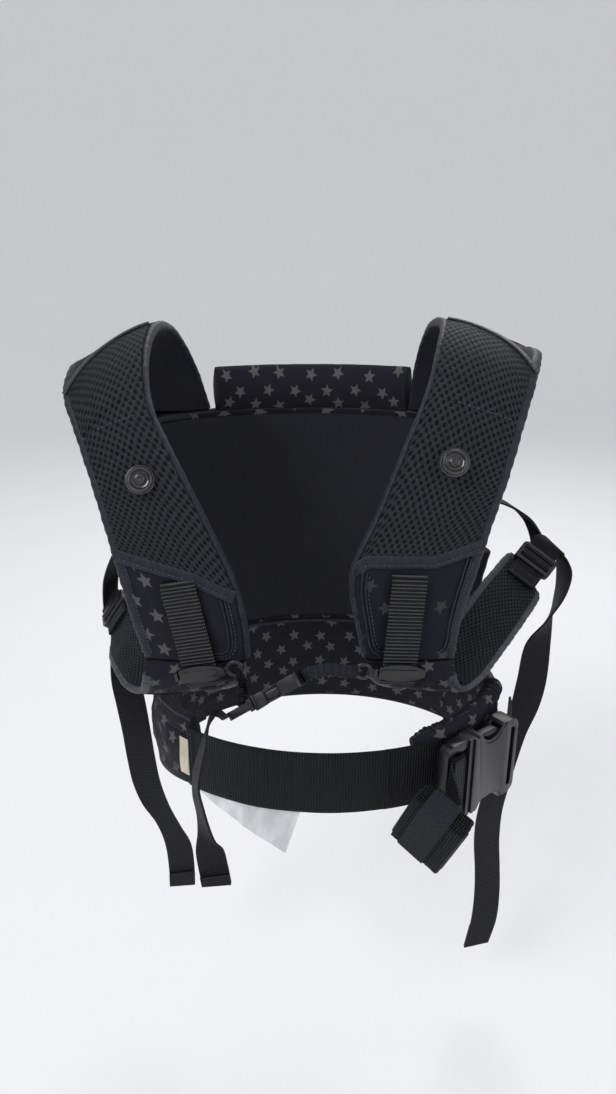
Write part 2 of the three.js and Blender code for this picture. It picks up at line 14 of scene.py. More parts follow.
import bmesh
import bpy
import numpy as np
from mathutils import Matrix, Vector

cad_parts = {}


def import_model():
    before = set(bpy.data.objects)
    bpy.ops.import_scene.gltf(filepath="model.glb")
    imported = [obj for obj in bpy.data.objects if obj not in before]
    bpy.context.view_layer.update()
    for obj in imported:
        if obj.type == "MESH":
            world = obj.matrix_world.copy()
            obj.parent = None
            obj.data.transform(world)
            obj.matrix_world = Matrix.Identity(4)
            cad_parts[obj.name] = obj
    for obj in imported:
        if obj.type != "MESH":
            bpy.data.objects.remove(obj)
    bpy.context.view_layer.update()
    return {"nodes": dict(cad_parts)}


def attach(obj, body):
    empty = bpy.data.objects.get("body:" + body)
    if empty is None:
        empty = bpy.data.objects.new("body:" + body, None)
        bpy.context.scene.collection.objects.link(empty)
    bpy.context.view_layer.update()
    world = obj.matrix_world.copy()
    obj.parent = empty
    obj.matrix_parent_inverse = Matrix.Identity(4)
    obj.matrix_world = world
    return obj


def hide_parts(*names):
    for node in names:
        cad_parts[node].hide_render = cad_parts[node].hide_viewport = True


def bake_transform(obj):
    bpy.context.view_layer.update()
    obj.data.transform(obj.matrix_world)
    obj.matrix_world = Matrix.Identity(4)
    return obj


LOG = logging.getLogger("harness")
MM = 0.001
ROOT = "harness"

Array = np.ndarray
Piece = bpy.types.Object
Socket = bpy.types.NodeSocket
Surface = Callable[[Array, Array], Array]
Depth = Callable[[Array, Array], tuple]
Relief = Callable[[Array, Array, Array, Array], Array]


class Side(Enum):
    """Which of the two straps a piece belongs to."""

    LEFT = "left"
    RIGHT = "right"


# ---- small mathematics ---------------------------------------------------------------------------
def unit(vectors: Array) -> Array:
    """Vectors scaled to length one, over the last axis."""
    length = np.linalg.norm(vectors, axis=-1, keepdims=True)
    return np.asarray(vectors, float) / np.maximum(length, 1e-9)


def lerp(a: float, b: float, t: Array) -> Array:
    """Straight blend from a to b."""
    return a + (b - a) * t


def smooth(t: Array) -> Array:
    """Smooth step from 0 to 1."""
    t = np.clip(t, 0, 1)
    return t * t * (3 - 2 * t)


def spline(points: Sequence[Sequence[float]], t: Array) -> Array:
    """Centripetal spline through points.

    Args:
        points: the stations.
        t: where to read it, 0 at the first station and 1 at the last.
    Returns:
        One point for each t.
    """
    pts = np.asarray(points, float)
    t = np.asarray(t, float)
    n = len(pts)
    at = (n - 1) * np.clip(t, 0, 1)
    i = np.minimum(at.astype(int), n - 2)
    w = (at - i)[..., None]
    full = np.vstack([2 * pts[0] - pts[1], pts, 2 * pts[-1] - pts[-2]])
    p0, p1, p2, p3 = full[i], full[i + 1], full[i + 2], full[i + 3]

    def gap(a: Array, b: Array) -> Array:
        """Knot distance between two stations."""
        return np.sum((a - b) ** 2, axis=-1, keepdims=True) ** 0.25

    d0, d1, d2 = gap(p0, p1), gap(p1, p2), gap(p2, p3)
    d1 = np.where(d1 < 1e-4, 1.0, d1)
    d0 = np.where(d0 < 1e-4, d1, d0)
    d2 = np.where(d2 < 1e-4, d1, d2)
    t1 = ((p1 - p0) / d0 - (p2 - p0) / (d0 + d1) + (p2 - p1) / d1) * d1
    t2 = ((p2 - p1) / d1 - (p3 - p1) / (d1 + d2) + (p3 - p2) / d2) * d1
    c2 = -3 * p1 + 3 * p2 - 2 * t1 - t2
    c3 = 2 * p1 - 2 * p2 + t1 + t2
    return p1 + t1 * w + c2 * w ** 2 + c3 * w ** 3


def travel(points: Array) -> Array:
    """Distance run along a row of points, from 0 at the first."""
    return np.concatenate([[0], np.cumsum(np.linalg.norm(np.diff(points, axis=0), axis=1))])


def between(edge_a: Sequence[Sequence[float]], edge_b: Sequence[Sequence[float]]) -> Surface:
    """Surface that runs straight across from one edge curve to another.

    Args:
        edge_a: stations of the edge at v 0.
        edge_b: stations of the edge at v 1.
    Returns:
        The surface.
    """

    def surface(u: Array, v: Array) -> Array:
        """Point at (u, v)."""
        a = spline(edge_a, u)
        b = spline(edge_b, u)
        return a + (b - a) * v[..., None]

    return surface


def normals(surface: Surface, u: Array, v: Array, step: float = 2e-3) -> Array:
    """Outward unit normals of a surface at (u, v).

    Args:
        surface: the surface.
        u: place along.
        v: place across.
        step: distance between readings.
    Returns:
        One normal for each place.
    """
    along = surface(np.clip(u + step, 0, 1), v) - surface(np.clip(u - step, 0, 1), v)
    across = surface(u, np.clip(v + step, 0, 1)) - surface(u, np.clip(v - step, 0, 1))
    return unit(np.cross(along, across))


@dataclass(frozen=True)
class Crumple:
    """Soft creases: a sum of smooth waves in random directions, the same on every run."""

    seed: int
    wave: float
    height: float
    stretch: float = 1.0

    def __call__(self, s: Array, t: Array) -> Array:
        """Height in millimetres at the cloth coordinates s and t.

        Args:
            s: cloth coordinate along.
            t: cloth coordinate across.
        Returns:
            The heights.
        """
        rng = np.random.default_rng(self.seed)
        total = np.zeros(np.broadcast(s, t).shape)
        for _ in range(9):
            angle = rng.uniform(0, math.pi)
            wave = self.wave * rng.uniform(0.6, 1.6)
            phase = rng.uniform(0, 2 * math.pi)
            bend = rng.uniform(0.5, 1.5)
            line = s * math.cos(angle) / self.stretch + t * math.sin(angle)
            total = total + np.sin(2 * math.pi * line / wave + phase + bend * np.sin(t / wave * 2 + phase))
        return self.height * total / 4.5


@dataclass(frozen=True)
class Place:
    """Local axes: X along, Y across and Z out of a face, with an origin, in millimetres."""

    origin: tuple
    along: tuple
    across: tuple

    def axes(self) -> Array:
        """The three unit axes as rows.

        Returns:
            A 3 by 3 array.
        """
        x = unit(np.array(self.along, float))
        y = np.array(self.across, float)
        y = unit(y - x * np.dot(x, y))
        return np.stack([x, y, np.cross(x, y)])

    def world(self, points: Sequence[Sequence[float]]) -> Array:
        """Local points in the object's own frame."""
        return np.asarray(points, float) @ self.axes() + np.array(self.origin, float)

    def turn(self, vectors: Sequence[Sequence[float]]) -> Array:
        """Local directions in the object's own frame."""
        return np.asarray(vectors, float) @ self.axes()


# ---- shader writing ------------------------------------------------------------------------------
class Graph:
    """Writes the shader nodes of one material."""

    def __init__(self, name: str) -> None:
        """Start an empty material with a Principled shader.

        Args:
            name: the material's name.
        """
        self.mat = bpy.data.materials.new(name)
        self.mat.use_nodes = True
        self.tree = self.mat.node_tree
        self.tree.nodes.clear()
        self.out = self.tree.nodes.new("ShaderNodeOutputMaterial")
        self.shader = self.tree.nodes.new("ShaderNodeBsdfPrincipled")
        self.tree.links.new(self.shader.outputs[0], self.out.inputs["Surface"])
        self.column = 0

    def feed(self, socket: Socket, value: object) -> None:
        """Link a socket, or set it to a constant.

        Args:
            socket: the input.
            value: a socket to link, or a number or colour.
        """
        if isinstance(value, Socket):
            self.tree.links.new(value, socket)
        elif isinstance(value, (tuple, list)) and len(value) == 3 and socket.type == "RGBA":
            socket.default_value = (*value, 1.0)
        else:
            socket.default_value = value

    def node(self, kind: str, inputs: dict, **options: object) -> bpy.types.Node:
        """Add a node.

        Args:
            kind: node type without its ShaderNode prefix.
            inputs: socket name or number to value or other socket.
            options: the node's own settings.
        Returns:
            The node.
        """
        made = self.tree.nodes.new("ShaderNode" + kind)
        self.column += 1
        made.location = (-200 * (self.column % 12), -160 * (self.column // 12))
        for key, value in options.items():
            setattr(made, key, value)
        for key, value in inputs.items():
            self.feed(made.inputs[key], value)
        return made

    def math(self, operation: str, *values: object, clamp: bool = False) -> Socket:
        """One arithmetic step."""
        made = self.node("Math", dict(enumerate(values)), operation=operation, use_clamp=clamp)
        return made.outputs[0]

    def times(self, a: object, b: object) -> Socket:
        """Product of two values."""
        return self.math("MULTIPLY", a, b)

    def plus(self, a: object, b: object) -> Socket:
        """Sum of two values."""
        return self.math("ADD", a, b)

    def wave(self, value: object, length: float) -> Socket:
        """Sine wave of a given length in millimetres, from -1 to 1."""
        return self.math("SINE", self.times(value, 2 * math.pi / length))

    def band(self, value: object, low: float, high: float) -> Socket:
        """Smooth 0 to 1 as value goes from low to high."""
        inputs = {"Value": value, "From Min": low, "From Max": high}
        return self.node("MapRange", inputs, interpolation_type="SMOOTHSTEP").outputs["Result"]

    def mix(self, factor: object, a: object, b: object) -> Socket:
        """Blend two colours."""
        return self.node("Mix", {0: factor, 6: a, 7: b}, data_type="RGBA").outputs[2]

    def cloth(self) -> tuple:
        """Cloth coordinates in millimetres: along, across and layer, from the mesh's own layer."""
        read = self.node("Attribute", {}, attribute_name="cloth")
        return tuple(self.node("SeparateXYZ", {0: read.outputs["Vector"]}).outputs)

    def vector(self, x: object, y: object, z: object = 0.0) -> Socket:
        """Join three numbers."""
        return self.node("CombineXYZ", {0: x, 1: y, 2: z}).outputs[0]

    def noise(self, vector: object, scale: float, detail: float = 2.0, rough: float = 0.5) -> Socket:
        """Noise between 0 and 1."""
        made = self.node("TexNoise", {"Vector": vector, "Scale": scale, "Detail": detail, "Roughness": rough})
        return made.outputs["Fac"]

    def spot(self) -> Socket:
        """The mesh's own coordinates in metres."""
        return self.node("TexCoord", {}).outputs["Object"]

    def bump(self, height: object, distance: float, strength: float = 1.0, under: object = None) -> object:
        """Bump from a height between 0 and 1 that stands for distance in metres.

        Args:
            height: what stands out.
            distance: metres for a height of 1.
            strength: how much of it is used.
            under: normal below it.
        Returns:
            The normal.
        """
        inputs = {"Height": height, "Distance": distance, "Strength": strength}
        if under is not None:
            inputs["Normal"] = under
        return self.node("Bump", inputs).outputs[0]

    def finish(self, **sockets: object) -> bpy.types.Material:
        """Set the shader's sockets, named with underscores for spaces, and return the material.

        Args:
            sockets: socket names and values.
        Returns:
            The material.
        """
        for name, value in sockets.items():
            self.feed(self.shader.inputs[name.replace("_", " ")], value)
        return self.mat


@dataclass(frozen=True)
class Finish:
    """A surface finish: its material slot in the record, its colour and how it is drawn."""

    name: str
    slot: str
    colour: tuple
    rough: float

    def draw(self, g: Graph) -> None:
        """Write the nodes; each finish has its own."""
        raise NotImplementedError

    def material(self) -> bpy.types.Material:
        """The finish's material, made once.

        Returns:
            The material.
        """
        known = bpy.data.materials.get(self.name)
        if known:
            return known
        g = Graph(self.name)
        self.draw(g)
        return g.mat


@dataclass(frozen=True)
class AirMesh(Finish):
    """Knitted spacer mesh with staggered lens-shaped openings."""

    long: float = 8.2
    wide: float = 5.6
    strand: tuple = (0.04, 0.045, 0.055)

    def draw(self, g: Graph) -> None:
        """Openings from two waves; the strands round over and the openings sink, painted near-black as shade.

        Args:
            g: the material being written.
        """
        s, t, _ = g.cloth()
        drift = g.noise(g.vector(s, t), 0.06, 1.0)
        s2 = g.math("MULTIPLY_ADD", drift, 3.0, s)
        a = g.math("COSINE", g.times(s2, 2 * math.pi / self.long))
        b = g.math("COSINE", g.times(t, 2 * math.pi / self.wide))
        cell = g.times(a, b)
        painted_hole_shade = g.band(cell, 0.12, 0.48)
        fine = g.noise(g.vector(s, t), 1.9, 2.0)
        twist = g.math("SINE", g.times(g.plus(s, t), 5.2))
        lit = g.math("MULTIPLY_ADD", twist, 0.12, g.band(fine, 0.3, 0.75))
        thread = g.mix(lit, self.colour, self.strand)
        # Painted shade: the sunk openings are coloured near-black to stand for the shadow inside them.
        g.finish(Base_Color=g.mix(painted_hole_shade, thread, (0.0012, 0.0013, 0.0016)), Roughness=self.rough,
                 Specular_IOR_Level=0.12, Sheen_Weight=0.02, Sheen_Roughness=0.5)
        rise = g.math("SUBTRACT", 1.0, g.band(cell, -0.5, 0.5))
        first = g.bump(rise, 0.0011, 1.0)
        g.finish(Normal=g.bump(g.math("MULTIPLY_ADD", twist, 0.35, fine), 0.00025, 0.8, first))


@dataclass(frozen=True)
class Twill(Finish):
    """Woven shell fabric, with or without printed stars."""

    star: tuple = (0.0, 0.0, 0.0)
    cell: float = 27.0
    radius: float = 5.9
    sheen: float = 0.03
    notch: float = 0.46
    scatter: float = 7.0
    blur: float = 0.25

    def stars(self, g: Graph, s: object, t: object, shift: float) -> Socket:
        """Mask of one set of scattered five-pointed stars.

        Args:
            g: the material being written.
            s: cloth coordinate along.
            t: cloth coordinate across.
            shift: offset of this set's grid, in cells.
        Returns:
            1 inside a star and 0 outside.
        """
        x = g.plus(g.math("DIVIDE", s, self.cell), shift)
        y = g.plus(g.math("DIVIDE", t, self.cell), shift)
        ident = g.vector(g.math("FLOOR", x), g.math("FLOOR", y), shift)
        chance = g.node("TexWhiteNoise", {"Vector": ident}, noise_dimensions="3D")
        parts = g.node("SeparateXYZ", {0: chance.outputs["Color"]})
        px = g.times(g.math("SUBTRACT", g.math("FRACT", x), 0.5), self.cell)
        py = g.times(g.math("SUBTRACT", g.math("FRACT", y), 0.5), self.cell)
        px = g.math("MULTIPLY_ADD", g.math("SUBTRACT", parts.outputs[0], 0.5), self.scatter, px)
        py = g.math("MULTIPLY_ADD", g.math("SUBTRACT", parts.outputs[1], 0.5), self.scatter, py)
        turn = g.math("MULTIPLY_ADD", parts.outputs[2], 6.283, g.math("ARCTAN2", py, px))
        fold = g.math("PINGPONG", turn, math.pi / 5)
        far = g.math("SQRT", g.plus(g.times(px, px), g.times(py, py)))
        # Straight side from a point of the star to the notch beside it.
        inner = self.radius * self.notch
        nx, ny = inner * math.cos(math.pi / 5), inner * math.sin(math.pi / 5)
        ex, ey = nx - self.radius, ny
        size = math.hypot(ex, ey)
        side_x, side_y = ey / size, -ex / size
        reach = g.math("ADD",
                       g.times(g.times(far, g.math("COSINE", fold)), side_x),
                       g.times(g.times(far, g.math("SINE", fold)), side_y))
        edge = self.radius * side_x
        return g.math("SUBTRACT", 1.0, g.band(reach, edge - self.blur, edge + self.blur))

    def draw(self, g: Graph) -> None:
        """Fine diagonal weave, soft mottling and the printed stars.

        Args:
            g: the material being written.
        """
        s, t, _ = g.cloth()
        both = g.vector(s, t)
        weave = g.wave(g.plus(s, t), 0.9)
        cross = g.wave(g.math("SUBTRACT", s, t), 1.3)
        grain = g.math("MULTIPLY_ADD", weave, 0.5, g.times(cross, 0.25))
        cloud = g.noise(both, 0.045, 3.0, 0.6)
        fluff = g.noise(both, 1.4, 2.0)
        pale = tuple(c * 1.7 + 0.002 for c in self.colour)
        base = g.mix(g.math("MULTIPLY_ADD", grain, 0.16, g.times(cloud, fluff)), self.colour, pale)
        if self.star[0] > 0:
            printed = g.math("MAXIMUM", self.stars(g, s, t, 0.0), self.stars(g, s, t, 0.5))
            worn = g.times(printed, g.math("MULTIPLY_ADD", fluff, 0.5, 0.62, clamp=True))
            base = g.mix(worn, base, self.star)
        puckers = g.noise(g.vector(g.times(s, 0.35), t), 0.11, 3.0, 0.55)
        first = g.bump(puckers, 0.0016, 0.55)
        g.finish(Base_Color=base, Roughness=self.rough, Specular_IOR_Level=0.12, Sheen_Weight=self.sheen,
                 Sheen_Roughness=0.45, Normal=g.bump(grain, 0.00012, 0.5, first))


@dataclass(frozen=True)
class Webbing(Finish):
    """Woven tape with ribs across its length and dotted threads along each rib."""

    rib: float = 2.7
    dot: float = 1.05
    depth: float = 0.0006
    lit: tuple = (0.05, 0.055, 0.06)

    def draw(self, g: Graph) -> None:
        """Round ribs with a painted highlight along each crest and painted shade in the grooves, with a fine
        dotted thread on top.

        Args:
            g: the material being written.
        """
        s, t, _ = g.cloth()
        wave = g.wave(s, self.rib)
        dots = g.wave(t, self.dot)
        crest = g.band(wave, -0.1, 0.95)
        # Painted highlight: rib crests blend towards the lit colour, dotted along the threads and patchy from
        # noise; the grooves keep the dark base as painted shade.
        shine = g.times(crest, g.math("MULTIPLY_ADD", dots, 0.4, 0.5))
        highlight_patches = g.noise(g.vector(s, t), 0.09, 2.0)
        g.finish(Base_Color=g.mix(g.times(shine, g.math("MULTIPLY_ADD", highlight_patches, 0.6, 0.45)),
                                  self.colour, self.lit), Roughness=self.rough, Specular_IOR_Level=0.2)
        first = g.bump(wave, self.depth, 0.9)
        g.finish(Normal=g.bump(dots, 0.00016, 0.6, first))


@dataclass(frozen=True)
class Satin(Finish):
    """Smooth bias tape for bindings and seams, with fine puckers."""

    sheen: float = 0.03
    gloss: float = 0.2

    def draw(self, g: Graph) -> None:
        """Faint cross threads, puckers with a painted highlight on their raised parts, and a soft sheen.

        Args:
            g: the material being written.
        """
        s, t, _ = g.cloth()
        threads = g.wave(s, 0.7)
        pucker = g.noise(g.vector(g.times(s, 1.2), g.times(t, 0.35)), 0.28, 3.0)
        pale = tuple(c * 1.9 + 0.003 for c in self.colour)
        first = g.bump(pucker, 0.0011, 0.7)
        # Painted highlight: the raised parts of the puckers are blended towards the paler colour.
        g.finish(Base_Color=g.mix(g.band(pucker, 0.35, 0.8), self.colour, pale), Roughness=self.rough,
                 Specular_IOR_Level=self.gloss, Sheen_Weight=self.sheen, Sheen_Roughness=0.35,
                 Normal=g.bump(threads, 0.00008, 0.4, first))


@dataclass(frozen=True)
class Elastic(Finish):
    """Covered elastic: fine cords along its length."""

    cord: float = 1.1

    def draw(self, g: Graph) -> None:
        """Cords along, tiny threads across.

        Args:
            g: the material being written.
        """
        s, t, _ = g.cloth()
        cords = g.wave(t, self.cord)
        threads = g.wave(s, 0.8)
        fuzz = g.noise(g.vector(s, t), 0.9, 2.0)
        pale = tuple(c * 1.8 + 0.002 for c in self.colour)
        height = g.math("MULTIPLY_ADD", threads, 0.35, cords)
        g.finish(Base_Color=g.mix(g.math("MULTIPLY_ADD", cords, 0.15, g.band(fuzz, 0.3, 0.8)), self.colour,
                                  pale),
                 Roughness=self.rough, Specular_IOR_Level=0.15, Normal=g.bump(height, 0.00018, 0.8))


@dataclass(frozen=True)
class Moulded(Finish):
    """Injection-moulded plastic with a fine spark-eroded grain."""

    grain: float = 0.00003
    coat: float = 0.0

    def draw(self, g: Graph) -> None:
        """Grain, faint flow marks and rubbed patches that shine a little more.

        Args:
            g: the material being written.
        """
        where = g.spot()
        grit = g.noise(where, 2600.0, 2.0)
        rubbed = g.noise(where, 55.0, 3.0, 0.6)
        pale = tuple(c * 1.6 + 0.002 for c in self.colour)
        g.finish(Base_Color=g.mix(g.band(rubbed, 0.4, 0.75), self.colour, pale),
                 Roughness=g.math("MULTIPLY_ADD", rubbed, 0.16, self.rough - 0.08),
                 Coat_Weight=self.coat, Normal=g.bump(grit, self.grain, 0.6))


@dataclass(frozen=True)
class Ribbon(Finish):
    """Blank woven label."""

    def draw(self, g: Graph) -> None:
        """Fine threads, soft creases and painted shade in the creases' hollows.

        Args:
            g: the material being written.
        """
        s, t, _ = g.cloth()
        threads = g.wave(t, 0.55)
        crease = g.noise(g.vector(s, g.times(t, 0.4)), 0.09, 3.0)
        shade = tuple(c * 0.78 for c in self.colour)
        first = g.bump(crease, 0.0014, 0.5)
        # Painted shade: the low parts of the creases are blended towards the darker shade colour.
        g.finish(Base_Color=g.mix(g.band(crease, 0.35, 0.7), shade, self.colour), Roughness=self.rough,
                 Sheen_Weight=0.2, Normal=g.bump(threads, 0.00006, 0.5, first))


@dataclass(frozen=True)
class Ground(Finish):
    """Plain pale studio floor."""

    def draw(self, g: Graph) -> None:
        """Barely mottled matt paint.

        Args:
            g: the material being written.
        """
        fleck = g.noise(g.spot(), 9.0, 3.0)
        shade = tuple(c * 0.97 for c in self.colour)
        g.finish(Base_Color=g.mix(fleck, shade, self.colour), Roughness=self.rough)


MESH = AirMesh("knitted_air_mesh", "mesh_padding", (0.009, 0.0105, 0.013), 0.62, long=7.0, wide=5.2)
FINE_MESH = AirMesh("fine_air_mesh", "mesh_padding", (0.012, 0.014, 0.018), 0.66, long=4.6, wide=3.6,
                    strand=(0.03, 0.033, 0.04))
SHELL = Twill("plain_shell_twill", "fabric", (0.0075, 0.008, 0.012), 0.68)
STARS = Twill("star_printed_twill", "fabric", (0.0075, 0.008, 0.012), 0.7, star=(0.09, 0.09, 0.094))
FAINT = Twill("faint_star_twill", "fabric", (0.007, 0.0078, 0.012), 0.72, star=(0.042, 0.042, 0.046),
              cell=38.0, radius=5.6)
LINING = Twill("panel_lining_twill", "lining", (0.013, 0.0137, 0.018), 0.74)
BINDING = Satin("bias_binding", "fabric", (0.0075, 0.0085, 0.014), 0.5, gloss=0.3)
GREY_BINDING = Satin("grey_satin_binding", "fabric", (0.026, 0.028, 0.035), 0.42, gloss=0.35)
SEAM_TAPE = Satin("glossy_seam_tape", "fabric", (0.008, 0.0085, 0.011), 0.34, sheen=0.02, gloss=0.45)
THREAD = Satin("sewing_thread", "fabric", (0.03, 0.033, 0.045), 0.55)
RIBBED = Webbing("ribbed_webbing", "webbing", (0.003, 0.0034, 0.004), 0.52, dot=1.5, depth=0.0008,
                 lit=(0.15, 0.155, 0.16))
BELTING = Webbing("belt_webbing_weave", "webbing", (0.0035, 0.0042, 0.005), 0.56, rib=2.1, dot=1.3,
                  depth=0.0006, lit=(0.028, 0.032, 0.036))
TAPE_WEAVE = Webbing("strap_webbing_weave", "webbing", (0.0035, 0.0038, 0.0045), 0.55, rib=1.7, dot=1.2,
                     depth=0.0003, lit=(0.020, 0.022, 0.025))
ELASTIC = Elastic("covered_elastic", "elastic", (0.013, 0.014, 0.018), 0.66)
PLASTIC = Moulded("satin_acetal", "plastic", (0.006, 0.0065, 0.0085), 0.32)
SLICK = Moulded("slick_acetal", "plastic", (0.007, 0.0075, 0.009), 0.24, grain=0.00002)
GLOSS = Moulded("glossy_stud", "stud", (0.006, 0.006, 0.007), 0.17, grain=0.00001, coat=0.6)
WHITE = Ribbon("white_ribbon", "label", (0.74, 0.75, 0.77), 0.5)
BEIGE = Ribbon("beige_ribbon", "tag", (0.56, 0.53, 0.43), 0.6)
FLOOR = Ground("studio_floor", "", (0.8, 0.8, 0.81), 0.95)


# ---- mesh making ---------------------------------------------------------------------------------
def make(name: str, verts: Array, faces: Iterable, finish: Finish, cloth: Optional[Array] = None,
         sharp: float = 42.0) -> Piece:
    """Make a mesh object from millimetre vertices.

    Args:
        name: the piece's name.
        verts: vertices in millimetres.
        faces: tuples of vertex numbers.
        finish: what it is made of.
        cloth: one (along, across, layer) row per vertex, in millimetres.
        sharp: edges that turn by more degrees than this stay crisp.
    Returns:
        The object, linked to the scene.
    """
    mesh = bpy.data.meshes.new(name)
    mesh.from_pydata((np.asarray(verts) * MM).tolist(), [], [tuple(int(i) for i in f) for f in faces])
    mesh.update()
    if cloth is None:
        cloth = np.asarray(verts)
    layer = mesh.attributes.new("cloth", "FLOAT_VECTOR", "POINT")
    layer.data.foreach_set("vector", np.asarray(cloth, dtype=np.float32).ravel())
    mesh.materials.append(finish.material())
    mesh.polygons.foreach_set("use_smooth", [True] * len(mesh.polygons))
    mesh.set_sharp_from_angle(angle=math.radians(sharp))
    piece = bpy.data.objects.new(name, mesh)
    bpy.context.scene.collection.objects.link(piece)
    return piece


def fit(piece: Piece, body: str, node: str) -> None:
    """Let a piece ride on a body and take a node's place.

    Args:
        piece: the piece.
        body: the body that carries it.
        node: the node that it stands in for.
    """
    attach(piece, body)
    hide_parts(node)


def grid_faces(rows: int, cols: int, start: int = 0, flip: bool = False) -> list:
    """Quads of a grid of vertices stored row by row."""
    corners = [start + i * cols + j for i in range(rows - 1) for j in range(cols - 1)]
    return [(a, a + cols, a + cols + 1, a + 1)[::-1 if flip else 1] for a in corners]


def rim_loop(rows: int, cols: int) -> list:
    """Vertex numbers round the edge of a grid, in order.

    Args:
        rows: vertices along.
        cols: vertices across.
    Returns:
        The numbers.
    """
    top = list(range(cols))
    right = [i * cols + cols - 1 for i in range(1, rows)]
    bottom = [(rows - 1) * cols + j for j in range(cols - 2, -1, -1)]
    left = [i * cols for i in range(rows - 2, 0, -1)]
    return top + right + bottom + left


def slab(name: str, surface: Surface, depth: Depth, steps: tuple, finish: Finish,
         relief: Optional[Relief] = None,
         shift: tuple = (0.0, 0.0), swell: float = 0.0) -> Piece:
    """Closed soft slab that follows a surface, with rounded edges.

    Args:
        name: the piece's name.
        surface: its outer surface.
        depth: how far the two faces lie inside that surface at (u, v).
        steps: faces along u and along v.
        finish: what it is made of.
        relief: height added outwards, from u, v and the cloth coordinates.
        shift: added to the cloth coordinates, so prints differ between pieces.
        swell: how far the rounded edge bulges.
    Returns:
        The object.
    """
    rows, cols = steps[0] + 1, steps[1] + 1
    u, v = np.meshgrid(np.linspace(0, 1, rows), np.linspace(0, 1, cols), indexing="ij")
    base = surface(u, v)
    out = normals(surface, u, v)
    outer, inner = depth(u, v)
    middle = surface(u[:, :1], np.full_like(u[:, :1], 0.5))[:, 0]
    run = travel(middle)
    wide = np.linalg.norm(surface(u[:, :1], u[:, :1] * 0 + 1)[:, 0] - surface(u[:, :1], u[:, :1] * 0)[:, 0],
                          axis=1)
    s = np.broadcast_to(run[:, None], u.shape) + shift[0]
    t = (v - 0.5) * wide[:, None] + shift[1]
    rise = relief(u, v, s, t) if relief else np.zeros_like(u)
    front = base - out * (outer - rise)[..., None]
    back = base - out * (inner - 0.25 * rise)[..., None]
    verts = [front.reshape(-1, 3), back.reshape(-1, 3)]
    cloth = [np.stack([s, t, np.zeros_like(s)], -1).reshape(-1, 3),
             np.stack([s, t, np.ones_like(s)], -1).reshape(-1, 3)]
    count = rows * cols
    faces = grid_faces(rows, cols) + grid_faces(rows, cols, count, flip=True)
    loop = rim_loop(rows, cols)
    ring = np.array(loop)
    mid = (verts[0][ring] + verts[1][ring]) / 2
    side = unit(mid - np.roll(mid, 1, 0) + np.roll(mid, -1, 0) - mid)
    push = unit(np.cross(side, (verts[0][ring] - verts[1][ring])))
    verts.append(mid + push * swell * -1)
    cloth.append(cloth[0][ring])
    extra = 2 * count
    n = len(loop)
    for k in range(n):
        a, b = loop[k], loop[(k + 1) % n]
        c, d = extra + k, extra + (k + 1) % n
        faces.append((a, b, d, c))
        faces.append((c, d, b + count, a + count))
    return make(name, np.vstack(verts), faces, finish, np.vstack(cloth))


def pad_depth(thickness: float, edge: float, crown: float = 3.0) -> Depth:
    """Faces of a pad that thins to its two long edges.

    Args:
        thickness: the pad's thickness.
        edge: share of it left at the edges.
        crown: how late it thins.
    Returns:
        The two depths as a function of (u, v).
    """

    def depth(u: Array, v: Array) -> tuple:
        """Depth of the outer and the inner face."""
        thin = thickness * (1 - edge) * np.abs(2 * v - 1) ** crown / 2
        return thin, thickness - thin

    return depth


def flat_depth(low: float, high: float) -> Depth:
    """Faces at two constant depths."""
    return lambda u, v: (np.full_like(u, low), np.full_like(u, high))


def sweep(name: str, path: Array, axis_a: Array, axis_b: Array, outline: Array, finish: Finish,
          closed: bool = False, sizes: Optional[Array] = None, shift: float = 0.0) -> Piece:
    """Solid made by carrying an outline along a path.

    Args:
        name: the piece's name.
        path: points that it follows.
        axis_a: the outline's first axis at each point.
        axis_b: the outline's second axis at each point.
        outline: closed outline as (a, b) pairs.
        finish: what it is made of.
        closed: whether the path closes on itself.
        sizes: scale of the outline at each point.
        shift: added to the cloth coordinate along the path.
    Returns:
        The object.
    """
    n, k = len(path), len(outline)
    sizes = np.ones(n) if sizes is None else sizes
    rows = (path[:, None] + axis_a[:, None] * (outline[None, :, :1] * sizes[:, None, None])
            + axis_b[:, None] * (outline[None, :, 1:2] * sizes[:, None, None]))
    run = travel(path) + shift
    girth = travel(outline)
    cloth = np.stack(np.broadcast_arrays(run[:, None], girth[None, :], 0.0), -1)
    faces = []
    last = n if closed else n - 1
    for i in range(last):
        for j in range(k):
            a = i * k + j
            b = i * k + (j + 1) % k
            c = ((i + 1) % n) * k + (j + 1) % k
            d = ((i + 1) % n) * k + j
            faces.append((a, b, c, d))
    if not closed:
        faces.append(tuple(range(k))[::-1])
        faces.append(tuple(range((n - 1) * k, n * k)))
    verts = rows.reshape(-1, 3)
    volume = 0.0
    for f in faces:
        p = verts[list(f)]
        for q in range(1, len(f) - 1):
            volume += float(np.dot(p[0], np.cross(p[q], p[q + 1])))
    if volume < 0:
        faces = [f[::-1] for f in faces]
    return make(name, verts, faces, finish, cloth.reshape(-1, 3), sharp=55)


def ellipse(a: float, b: float, count: int = 12, power: float = 2.0) -> Array:
    """Outline of an ellipse, squarer with a higher power.

    Args:
        a: half width.
        b: half height.
        count: corners.
        power: squareness, 2 for a true ellipse.
    Returns:
        The corners.
    """
    angle = np.linspace(0, 2 * math.pi, count, endpoint=False)
    c, s = np.cos(angle), np.sin(angle)
    return np.stack([a * np.sign(c) * np.abs(c) ** (2 / power), b * np.sign(s) * np.abs(s) ** (2 / power)],
                    -1)


def carried(path: Array, start: Sequence[float]) -> tuple:
    """Two axes square to a path, turned as little as possible along it.

    Args:
        path: the points.
        start: rough direction of the first axis.
    Returns:
        Both axes at each point.
    """
    run = unit(np.gradient(path, axis=0))
    side = np.zeros_like(path)
    now = np.array(start, float)
    for i, way in enumerate(run):
        now = unit(now - way * np.dot(now, way))
        side[i] = now
    return side, np.cross(run, side)


